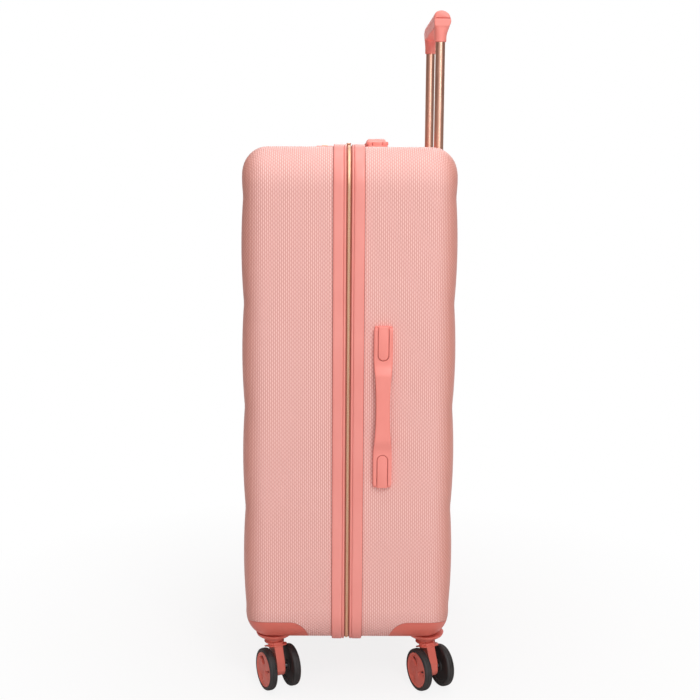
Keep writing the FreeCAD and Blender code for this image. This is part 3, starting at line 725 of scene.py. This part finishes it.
def band(sy):
    """Rim band beside the zip, a dark strip at its outer foot that is painted shadow, and the welt between the
    two.
    """
    high = band_stand
    start, end = seam + 3.5 * MM, band_end
    section = [(-0.4 * MM, start), (high - 0.9 * MM, start), (high - 0.35 * MM, start + 0.2 * MM),
               (high - 0.05 * MM, start + 0.9 * MM), (high, start + 4 * MM), (high, end - 4 * MM),
               (high - 0.1 * MM, end - 1.5 * MM), (high - 0.45 * MM, end - 0.6 * MM),
               (high - 1.1 * MM, end - 0.1 * MM), (high - 1.8 * MM, end), (-0.4 * MM, end)]
    piece = sweep(side_name[sy] + "_rim_band", [(o, sy * y) for o, y in section], outline())
    finish_piece(piece, case_body[sy], looks["band"], [side_name[sy] + "_band"], 50)
    # Painted shadow: a thin dark strip swept along the band's outer foot stands for the shade where the band meets
    # the shell.
    foot = [(-0.4 * MM, end - 0.4 * MM), (0.35 * MM, end - 0.4 * MM), (0.3 * MM, end + 0.7 * MM),
            (-0.4 * MM, end + 0.9 * MM)]
    foot_shadow = sweep(side_name[sy] + "_band_foot_shadow", [(o, sy * y) for o, y in foot], outline())
    finish_piece(foot_shadow, case_body[sy], looks["foot_shadow"], sharp=40)
    radius = 1.65 * MM
    centre = (high - radius - 0.1 * MM, seam + radius + 0.1 * MM)
    ring = [(centre[0] + radius * math.cos(math.tau * k / 16),
             sy * (centre[1] + radius * math.sin(math.tau * k / 16))) for k in range(16)]
    foot = [(-0.4 * MM, sy * (seam + 0.3 * MM)), (-0.4 * MM, sy * (seam + 2.9 * MM))]
    welt = sweep(side_name[sy] + "_welt", ring, outline())
    stem = sweep("stem", [(o, y) for o, y in (foot[0], foot[1], (centre[0], sy * (seam + 2.5 * MM)),
                                               (centre[0], sy * (seam + 0.9 * MM)))], outline())
    welt = joined(side_name[sy] + "_welt_band", [welt, stem])
    finish_piece(welt, case_body[sy], looks["band"], sharp=60)


def zip_half(sy):
    """Tape and teeth of one half of the zip; both stop at the fabric hinge."""
    half_hinge = (gusset_high.z - gusset_low.z) / 2
    start, end = half_hinge, outline_length() - half_hinge
    out = tape_high.z - top
    section = [(-1.0 * MM, 0.2 * MM), (out - 1.3 * MM, 0.2 * MM), (out - 1.0 * MM, 0.5 * MM),
               (out - 1.1 * MM, 1.9 * MM), (out - 1.3 * MM, 2.6 * MM), (out - 0.7 * MM, 3.1 * MM),
               (out - 0.9 * MM, 3.55 * MM), (-1.0 * MM, 3.55 * MM)]
    tape = open_sweep(side_name[sy] + "_tape", [(o, sy * y) for o, y in section], start, end, 6 * MM)
    finish_piece(tape, case_body[sy], looks["zip"], [side_name[sy] + "_zip_tape"], 60)
    verts, faces = [], []
    count = int((end - start) / teeth_pitch) - 1
    across = (-0.45 * MM, 1.75 * MM)
    for k in range(count):
        s = start + (k + (0.75 if sy > 0 else 0.25)) * teeth_pitch
        base = len(verts)
        for off, spread, trim in ((out - 1.1 * MM, 0.42, 0), (out - 0.05 * MM, 0.30, 0.15 * MM)):
            for side in (-1, 1):
                at, _, _ = outline_at(s + side * spread * teeth_pitch, off)
                for y in (across[0] + trim, across[1] - trim):
                    verts.append((at[0], sy * y, at[1]))
        faces += [tuple(base + v for v in f) for f in ((0, 1, 3, 2), (4, 6, 7, 5), (0, 4, 5, 1),
                                                       (2, 3, 7, 6), (0, 2, 6, 4), (1, 5, 7, 3))]
    teeth = mesh_from(side_name[sy] + "_teeth", verts, faces)
    finish_piece(teeth, case_body[sy], looks["gold"], sharp=20)


def hinge_fabric():
    """Strip of cloth that joins the halves on the far side."""
    outer, thick = half_width + 0.9 * MM, 0.7 * MM
    across, up, half = 18, 90, seam - 0.15 * MM
    height = gusset_high.z - gusset_low.z - 2 * MM
    verts = []
    for face in (0, 1):
        for i in range(across + 1):
            y = half - 2 * half * i / across
            swell = 0.5 * MM * (1 - (y / half) ** 2)
            for j in range(up + 1):
                z = gusset_low.z + 1 * MM + height * j / up
                rib = 0.12 * MM * math.sin(math.tau * y / (1.4 * MM))
                verts.append((-(outer + swell + rib - face * thick), y, z))
    n = (across + 1) * (up + 1)
    at = lambda face, i, j: face * n + i * (up + 1) + j
    faces = []
    for face in (0, 1):
        faces += [(at(face, i, j), at(face, i + 1, j), at(face, i + 1, j + 1), at(face, i, j + 1))
                  for i in range(across) for j in range(up)]
    for j in range(up):
        faces += [(at(0, i, j), at(0, i, j + 1), at(1, i, j + 1), at(1, i, j)) for i in (0, across)]
    for i in range(across):
        faces += [(at(0, i, j), at(0, i + 1, j), at(1, i + 1, j), at(1, i, j)) for j in (0, up)]
    strip = mesh_from("hinge_fabric", verts, faces)
    finish_piece(strip, None, looks["zip"], ["hinge_gusset"], 60)
    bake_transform(strip)


def lining(sy):
    """Cloth lining of a half, slightly slack over the shell."""
    def slack(x, y, z):
        soft = noise_value(Vector((x, y, z)) * 14) + 0.5 * noise_value(Vector((x, y, z)) * 33)
        return 1.6 * MM * max(0.0, 0.6 + soft)

    depth = None
    if sy > 0:
        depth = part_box("rear_lining")[1].y + housing_wall + lining_gap
    name = side_name[sy] + "_lining"
    piece = tray(name + "_cloth", sy, -housing_wall - lining_gap, 0.8 * MM, depth, slack)
    finish_piece(piece, case_body[sy], looks["lining"], [name], 60)


def packing_straps():
    """Two crossed webbing straps with a side-release buckle where they meet."""
    low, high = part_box("packing_straps")
    reach_x, reach_z = high.x - 10 * MM, (high.z - low.z) / 2 - 10 * MM
    width, thick = 25 * MM, 1.4 * MM
    parts = []
    for k, sx in enumerate((-1, 1)):
        direction = Vector((sx * reach_x, 0, reach_z)).normalized()
        across = Vector((direction.z, 0, -direction.x))
        length = math.hypot(reach_x, reach_z)
        sections = []
        for i in range(61):
            s = -length + 2 * length * i / 60
            lift = (1.6 * MM) * k * float(smoothstep(0.06, 0.02, abs(s)))
            sag = 1.2 * MM * math.sin(math.pi * (s / length * 3 + k)) ** 2
            centre = direction * s + Vector((0, high.y - 3.0 * MM - lift - 0.5 * sag, middle))
            ring = []
            for u, v in ((-1, -1), (-0.96, -1), (0.96, -1), (1, -1), (1, 1), (0.96, 1), (-0.96, 1),
                         (-1, 1)):
                edge = 0.5 if abs(u) == 1 else 1.0
                ring.append(centre + across * (u * width / 2) + Vector((0, v * edge * thick / 2, 0)))
            sections.append(ring)
        parts.append(loft("web", sections))
    webs = joined("packing_webs", parts)
    finish_piece(webs, "rear_case", looks["strap_web"], ["packing_straps"], 50)
    body_y = (low.y, high.y - 1.2 * MM)
    frame_box = box_mesh("buckle_frame", (-15 * MM, body_y[0], middle - 4 * MM),
                         (15 * MM, body_y[1], middle + 24 * MM))
    tail = box_mesh("buckle_tail", (-14 * MM, body_y[0] + 1 * MM, middle - 28 * MM),
                    (14 * MM, body_y[1], middle - 12 * MM))
    prongs = [box_mesh("prong", (x - 3 * MM, body_y[0] + 1.5 * MM, middle - 14 * MM),
                       (x + 3 * MM, body_y[1] - 1 * MM, middle)) for x in (-12.5 * MM, 12.5 * MM)]
    bevelled(frame_box, 2.2 * MM)
    bevelled(tail, 2.0 * MM)
    buckle = joined("packing_buckle", [frame_box, tail] + [bevelled(p, 1.2 * MM) for p in prongs])
    finish_piece(buckle, "rear_case", looks["inner_plastic"])


# ---------------------------------------------------------------- casters
WHEEL_RADIUS, WHEEL_WIDTH, WHEEL_TRACK, TRAIL = 30 * MM, 11 * MM, 36 * MM, 15 * MM
to_axle = Matrix.Rotation(-math.pi / 2, 4, "X")


def tyre_mesh():
    """Tyre round +Z, its inner face at z = 0."""
    profile = [(24.7, 0.4), (27.6, 0.0), (28.7, 0.5), (29.4, 1.4), (29.8, 2.6), (29.95, 3.4),
               (29.6, 3.55), (29.6, 3.95), (30.0, 4.1), (30.0, 6.9), (29.6, 7.05), (29.6, 7.45),
               (29.95, 7.6), (29.8, 8.4), (29.4, 9.6), (28.7, 10.5), (27.6, 11.0), (25.6, 11.0),
               (25.1, 10.7), (24.9, 10.1), (24.7, 8.0)]
    return lathe("tyre", [(r * MM, h * MM) for r, h in profile], 120)


def hub_mesh():
    """Hub round +Z: dark core, and a coloured cap with three curved recesses."""
    segments = 144
    core = [(2.6, 7.0), (2.6, 0.9), (5.4, 0.9), (5.8, 0.4), (8.2, 0.4), (9.0, 1.6), (19.5, 1.6),
            (20.3, 0.5), (24.3, 0.5), (24.8, 1.0), (24.8, 9.7)]
    cap = [(24.8, 10.5), (24.4, 11.0), (23.7, 11.15), (22.8, 10.9), (22.2, 10.2), (21.6, 9.9)]
    cap += [(21.0 - 0.65 * k, 9.9) for k in range(30)]
    verts, rings = [], core + cap
    for radius, height in rings:
        for i in range(segments):
            a = math.tau * i / segments
            h = height
            if (radius, height) in cap and radius < 21.5:
                h = height + 0.25 * math.cos(radius / 21 * math.pi / 2) ** 2
                turn = 3 * (a - 0.5 * radius / 20) / math.tau % 1
                window = float(smoothstep(6.2, 7.6, radius) * smoothstep(20.4, 19.4, radius))
                h -= 3.4 * window * max(0.0, (turn - 0.20) / 0.56) ** 1.3 * (turn < 0.76)
                hole = math.hypot(radius * math.cos(a) - 15.5, radius * math.sin(a) + 8.5)
                h -= 2.0 * float(smoothstep(1.7, 1.1, hole))
                ring = abs(radius - 5.2)
                h -= 0.4 * float(smoothstep(0.9, 0.3, ring))
            verts.append((radius * MM * math.cos(a), radius * MM * math.sin(a), h * MM))
    faces = ring_faces(segments, len(rings))
    for start, height in ((0, 7.0), ((len(rings) - 1) * segments, 10.1)):
        verts.append((0, 0, height * MM))
        faces += [(len(verts) - 1, start + i, start + (i + 1) % segments) for i in range(segments)]
    obj = mesh_from("hub", verts, faces)
    obj.data.materials.append(looks["housing"])
    obj.data.materials.append(looks["tyre"])
    for p in obj.data.polygons:
        reach = math.hypot(p.center.x, p.center.y)
        if p.center.z < 9.9 * MM and reach > 24.5 * MM or p.center.z < 7.3 * MM:
            p.material_index = 1
    return obj


def fork_mesh(head_low, head_high):
    """Swivel head, web and fender wings in one moulding, trail along +X."""
    half, parts = 6.4 * MM, []
    outline_points = [(-12, 66), (-9, 60), (2, 34), (4, 25)]
    points = [(x * MM, z * MM) for x, z in outline_points]
    tip = 12.2 * MM
    for k in range(9):
        a = math.radians(200 + 150 * k / 8)
        points.append((TRAIL + tip * math.cos(a), WHEEL_RADIUS + tip * math.sin(a)))
    points += [(25.5 * MM, 40 * MM), (18.5 * MM, 56 * MM), (14.5 * MM, 66 * MM)]
    parts.append(loft("web", [[(x, s * half, z) for x, z in points] for s in (-1, 1)]))
    head = [(0, head_low), (13.8 * MM, head_low), (14.4 * MM, head_low + 0.7 * MM),
            (14.2 * MM, head_low + 2.0 * MM), (11.6 * MM, head_low + 2.8 * MM),
            (11.2 * MM, head_high), (0, head_high)]
    parts.append(lathe("head", head, 48))
    collar = [(0, -7 * MM), (7 * MM, -7 * MM), (7 * MM, 7 * MM), (0, 7 * MM)]
    parts.append(lathe("collar", collar, 32,
                       Matrix.Translation((TRAIL, 0, WHEEL_RADIUS)) @ to_axle))
    inner, outer, wide = 31.2 * MM, 33.0 * MM, 16 * MM
    sections = []
    for k in range(25):
        a = math.radians(86 + 44 * k / 24)
        taper = 1 - 0.30 * abs(k / 12 - 1) ** 2.5
        ring = [(inner, -1), (outer - 0.3 * MM, -1), (outer, -0.9), (outer, 0.9),
                (outer - 0.3 * MM, 1), (inner, 1)]
        sections.append([(TRAIL + r * math.cos(a), s * wide * taper, WHEEL_RADIUS + r * math.sin(a))
                         for r, s in ring])
    parts.append(loft("fender", sections))
    return moulded(joined("fork", parts), 0.75 * MM, 3)


def casters():
    pins_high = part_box("caster_housing_fl")[0].z
    fork = fork_mesh(2 * WHEEL_RADIUS + 3.2 * MM, pins_high - 0.3 * MM)
    tyre, hub = tyre_mesh(), hub_mesh()
    for name in ("fl", "fr", "rl", "rr"):
        axis = joint_axis["spin_%s_a" % name]
        heading = Matrix.Rotation(math.atan2(-axis.x, axis.y), 4, "Z")
        place = Matrix.Translation((*joint_at["swivel_" + name][:2], 0)) @ heading
        arm = fork.copy()
        arm.data = fork.data.copy()
        arm.data.transform(place)
        arm.name = "caster_fork_" + name
        bpy.context.scene.collection.objects.link(arm)
        finish_piece(arm, "caster_" + name, looks["housing"], ["fork_" + name], 50)
        for letter, side in (("a", -1), ("b", 1)):
            turn = Matrix.Rotation(0.35 if letter == "a" else 1.2, 4, "Z")
            flip = Matrix.Identity(4) if side > 0 else Matrix.Rotation(math.pi, 4, "X")
            inner = Matrix.Translation((TRAIL, side * (WHEEL_TRACK - WHEEL_WIDTH) / 2, WHEEL_RADIUS))
            where = place @ inner @ to_axle @ flip @ turn
            for kind, source, slot in (("tyre", tyre, "tyre"), ("hub", hub, "housing")):
                piece = source.copy()
                piece.data = source.data.copy()
                piece.data.transform(where)
                piece.name = "wheel_%s_%s_%s" % (kind, name, letter)
                bpy.context.scene.collection.objects.link(piece)
                finish_piece(piece, "wheel_%s_%s" % (name, letter), looks[slot],
                             ["%s_%s_%s" % (kind, name, letter)], 40)
    for source in (fork, tyre, hub):
        bpy.data.objects.remove(source)


# ---------------------------------------------------------------- carry handles
HALF_LENGTH, END_LENGTH, RAMP, SHORT = 111 * MM, 50 * MM, 18 * MM, 2.2 * MM
STRAP_LOW, END_RISE, UNDER, RISE = 3.2 * MM, 8.5 * MM, 8.0 * MM, 13.5 * MM
TONGUE_LENGTH, TONGUE_HALF = 46 * MM, 7 * MM


def rounded_section(half, low, high, upper, lower):
    """Rounded rectangle in (y, z), anticlockwise, six points to a corner."""
    corners = ((half, low, lower, -90), (half, high, upper, 0), (-half, high, upper, 90),
               (-half, low, lower, 180))
    points = []
    for y, z, r, start in corners:
        cy, cz = y - math.copysign(r, y), (z + r if z == low else z - r)
        for k in range(6):
            a = math.radians(start + 18 * k)
            points.append((cy + r * math.cos(a), cz + r * math.sin(a)))
    return points


def tongue(name, grow, low, high, past):
    """Flat tongue along +X from the middle, with a round inner end."""
    half, inner = TONGUE_HALF + grow, HALF_LENGTH - TONGUE_LENGTH + TONGUE_HALF
    points = [(HALF_LENGTH + past, -half), (HALF_LENGTH + past, half), (inner, half)]
    points += [(inner + half * math.cos(a), half * math.sin(a))
               for a in (math.radians(90 + 180 * k / 16) for k in range(1, 16))]
    points.append((inner, -half))
    return loft(name, [[(x, y, z) for x, y in points] for z in (low, high)])


def half_strap(width):
    """Half of a carry strap, from its middle at x = 0 to its end, slotted for the tongue."""
    end = HALF_LENGTH - END_LENGTH
    last = HALF_LENGTH - SHORT
    xs = [end * k / 26 for k in range(27)]
    xs += [end + (last - end - 4 * MM) * k / 12 for k in range(1, 13)]
    xs += [last - 4 * MM * math.cos(math.radians(15 * k)) for k in range(1, 7)]
    sections = []
    for x in xs:
        share = float(smoothstep(end, end - RAMP, x))
        half = width / 2 if x > end else 9.25 * MM + (width / 2 - 9.25 * MM) * (x / end) ** 2
        left = last - x
        trim = 0.0
        if left < 4 * MM:
            trim = 4 * MM - math.sqrt(max(0.0, (4 * MM) ** 2 - (4 * MM - left) ** 2))
        low = STRAP_LOW + (UNDER - STRAP_LOW) * share
        high = END_RISE + (RISE - END_RISE) * share - trim * 0.3
        sections.append([(x, y, z) for y, z in
                         rounded_section(half - trim * 0.8, low, high, 1.7 * MM, 1.0 * MM)])
    strap = loft("strap", sections)
    return boolean(strap, tongue("cutter", 0.75 * MM, 0, 20 * MM, 5 * MM), "DIFFERENCE")


def handle(kind, width, place):
    """Strap in two halves that bow outwards from the case, and the two mounts with tongues."""
    for side, word in ((1, "a"), (-1, "b")):
        turn = Matrix.Identity(4) if side > 0 else Matrix.Rotation(math.pi, 4, "Z")
        strap = half_strap(width)
        strap.data.transform(place @ turn)
        strap.name = "%s_handle_strap_%s" % (kind, word)
        finish_piece(strap, None, looks["handle"], [kind + "_handle_strap"], 40)
        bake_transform(strap)
        plate = box_mesh("plate", (HALF_LENGTH - TONGUE_LENGTH, 1 * MM - width / 2, 0),
                         (HALF_LENGTH, width / 2 - 1 * MM, 3 * MM))
        bevelled(plate, 0.8 * MM)
        blade = tongue("blade", 0, 2 * MM, END_RISE - 0.4 * MM, -0.4 * MM)
        bevelled(blade, 1.0 * MM, angle=50)
        mount = joined("%s_handle_mount_%s" % (kind, word), [plate, blade])
        mount.data.transform(place @ turn)
        finish_piece(mount, "rear_case", looks["handle"], [kind + "_handle_mounts"], 35)


def carry_handles():
    low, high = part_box("top_handle_strap")
    handle("top", high.y - low.y, Matrix.Translation((0, (low.y + high.y) / 2, top)))
    low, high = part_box("side_handle_strap")
    upright = Matrix(((0, 0, 1, half_width), (0, -1, 0, (low.y + high.y) / 2),
                      (1, 0, 0, middle - 2 * MM),
                      (0, 0, 0, 1)))
    handle("side", high.y - low.y, upright)


# ---------------------------------------------------------------- trolley grip
def grip():
    """Grip in two mouldings: the bar with its sockets, and the domed cap above the parting line."""
    low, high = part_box("trolley_grip")
    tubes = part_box("trolley_inner_tubes")
    tube_y, tube_x = (tubes[0].y + tubes[1].y) / 2, tubes[1].x - 6.8 * MM
    bar_low, bar_half = high.z - 22 * MM, high.x
    part = 11.0
    base = [(-8.8, -0.4), (-9.3, 2), (-9.7, 6), (-9.9, 9), (-10.0, part), (-6, part), (0, part),
            (6, part), (13.2, part), (14.0, 8.5), (14.2, 6.5), (13.4, 3.4), (11.8, 0.6), (10.2, -0.4),
            (5, -0.6), (0, -0.6), (-5, -0.6)]
    cap = [(-9.9, part + 0.1), (-9.8, part + 0.9), (-9.0, 17.2), (-6.2, 20.3), (-2.6, 21.6),
           (0.8, 21.9), (4.6, 21.2), (8.6, 19.0), (11.8, 15.8), (13.1, part + 1.2),
           (13.1, part + 0.1), (6, part + 0.1), (0, part + 0.1), (-5, part + 0.1)]

    def bar(name, outline_points, count, round_end):
        loop = smooth_loop(outline_points, count)
        centre = np.mean(loop, axis=0)
        sections = []
        for k in range(-26, 27):
            x = bar_half * math.sin(math.pi / 2 * k / 26)
            left = bar_half - abs(x)
            trim = 0.0
            if left < round_end:
                trim = round_end - math.sqrt(max(0.0, round_end**2 - (round_end - left) ** 2))
            ring = []
            for p in loop:
                away = p - centre
                away = away / np.hypot(*away) * (trim / MM)
                ring.append((x, tube_y + (p[0] - away[0]) * MM, bar_low + (p[1] - away[1]) * MM))
            sections.append(ring)
        return loft(name, sections)

    parts = [bar("bar", base, 72, 1.2 * MM)]
    for sx in (-1, 1):
        sections = []
        for k in range(29):
            drop = 10 - 31 * k / 28
            ease = float(smoothstep(9.0, -15.0, drop))
            front = (-9.9 + 1.45 * ease) * MM
            back = (14.1 - 5.65 * ease) * MM
            inner = -12 * MM + 3.55 * MM * ease
            outer = (bar_half - tube_x - 0.2 * MM) * (1 - ease) + 8.45 * MM * ease
            power = 1 - 0.66 * (1 - ease)
            ring = []
            for i in range(48):
                a = math.tau * i / 48
                c, d = math.cos(a), math.sin(a)
                u = (inner + outer) / 2 + math.copysign(abs(c) ** power, c) * (outer - inner) / 2
                v = (front + back) / 2 + math.copysign(abs(d) ** power, d) * (back - front) / 2
                ring.append((sx * (tube_x + u), tube_y + v, bar_low + drop * MM))
            sections.append(ring)
        parts.append(loft("socket", sections))
    lower = moulded(joined("grip_body", parts), 0.8 * MM, 4)
    finish_piece(lower, "trolley", looks["handle"], ["trolley_grip"], 60)
    upper = bar("grip_cap", cap, 60, 3.2 * MM)
    finish_piece(upper, "trolley", looks["handle"], sharp=60)


# ---------------------------------------------------------------- pieces kept from the frame
def keep_frame_pieces():
    slots = {s["node"]: s["material_slot"] for s in frame["record"]["subparts"]}
    for name, obj in frame["nodes"].items():
        if obj.hide_render:
            continue
        obj.data.materials.clear()
        obj.data.materials.append(looks.get(slots[name], looks["handle"]))
        if name.startswith(("lock_", "zip_", "trolley_button", "trolley_cup")):
            obj.data.shade_smooth()
            modifier = obj.modifiers.new("edges", "BEVEL")
            modifier.width, modifier.segments, modifier.limit_method = 0.25 * MM, 2, "ANGLE"


# ---------------------------------------------------------------- stage, light and camera
def stage():
    bm = bmesh.new()
    bmesh.ops.create_grid(bm, x_segments=1, y_segments=1, size=60)
    mesh = bpy.data.meshes.new("floor")
    bm.to_mesh(mesh)
    bm.free()
    floor = bpy.data.objects.new("floor", mesh)
    floor.location.z = -0.2 * MM
    bpy.context.scene.collection.objects.link(floor)
    material, tree, shader = new_material("floor")
    shader.inputs["Base Color"].default_value = (0.72, 0.72, 0.72, 1)
    shader.inputs["Roughness"].default_value = 0.9
    shader.inputs["Specular IOR Level"].default_value = 0.1
    away = node(tree, "ShaderNodeVectorMath", {0: place_of(tree)}, operation="LENGTH")
    pale = ramp(tree, away.outputs["Value"], 0.2, 0.75, 0.84, 1.0)
    seen = node(tree, "ShaderNodeLightPath").outputs["Is Camera Ray"]
    glow = node(tree, "ShaderNodeEmission", {"Color": (1, 1, 1, 1), "Strength": 1.0})
    both = node(tree, "ShaderNodeMixShader", {0: maths(tree, "MULTIPLY", pale, seen),
                                              1: shader.outputs[0], 2: glow.outputs[0]})
    tree.links.new(both.outputs[0], tree.nodes["Material Output"].inputs["Surface"])
    mesh.materials.append(material)

    world = bpy.data.worlds.new("studio")
    bpy.context.scene.world = world
    world.use_nodes = True
    tree = world.node_tree
    background = tree.nodes["Background"]
    ray = node(tree, "ShaderNodeLightPath").outputs["Is Camera Ray"]
    along = node(tree, "ShaderNodeTexCoord").outputs["Generated"]
    side = maths(tree, "ABSOLUTE", node(tree, "ShaderNodeSeparateXYZ", {0: along}).outputs[1])
    soft = ramp(tree, side, 0.1, 0.8, 0.92, 0.12)
    strength = node(tree, "ShaderNodeMix", {0: ray, 2: soft, 3: 1.0}, data_type="FLOAT").outputs[0]
    warm = maths(tree, "MULTIPLY", ramp(tree, side, 0.15, 0.7, 0.0, 1.0),
                 maths(tree, "SUBTRACT", 1.0, ray))
    tree.links.new(mix_colour(tree, warm, (1, 1, 1, 1), (1, 0.66, 0.58, 1)), background.inputs["Color"])
    tree.links.new(strength, background.inputs["Strength"])

    def area(name, at, target, size, power):
        light = bpy.data.lights.new(name, "AREA")
        light.shape, light.size, light.energy = "SQUARE", size, power
        obj = bpy.data.objects.new(name, light)
        obj.location = at
        aim = Vector(target) - Vector(at)
        obj.rotation_euler = aim.to_track_quat("-Z", "Y").to_euler()
        bpy.context.scene.collection.objects.link(obj)

    area("key", (2.3, 0.8, 2.3), (0, 0, 0.6), 0.9, 27)
    area("fill", (2.6, 0.7, 1.2), (0, 0, 0.5), 0.8, 7)
    area("top", (0.3, 0.0, 2.8), (0, 0, 0.5), 1.8, 19)
    area("back", (-2.6, 0.6, 1.8), (0, 0, 0.45), 1.8, 16)


def camera():
    """The view of the near side, from a little above the rim."""
    place = Vector((1.8071, -0.0090, 0.7481))
    pitch, yaw, roll = (math.radians(v) for v in (9.175, -0.417, -0.359))
    forward = Vector((-math.cos(yaw) * math.cos(pitch), -math.sin(yaw) * math.cos(pitch),
                      -math.sin(pitch)))
    level = forward.cross(Vector((0, 0, 1))).normalized()
    down = forward.cross(level)
    right = level * math.cos(roll) + down * math.sin(roll)
    up = -(down * math.cos(roll) - level * math.sin(roll))
    data = bpy.data.cameras.new("camera")
    data.sensor_width, data.lens = 36.0, 60.34
    obj = bpy.data.objects.new("camera", data)
    turn = Matrix((right, up, -forward)).transposed().to_4x4()
    obj.matrix_world = Matrix.Translation(place) @ turn
    bpy.context.scene.collection.objects.link(obj)
    bpy.context.scene.camera = obj
    bpy.context.scene.view_settings.view_transform = "Standard"


for sy in (-1, 1):
    shell(sy)
    housings(sy)
    band(sy)
    zip_half(sy)
    lining(sy)
hinge_fabric()
packing_straps()
casters()
carry_handles()
grip()
keep_frame_pieces()
stage()
camera()

bpy.context.view_layer.update()
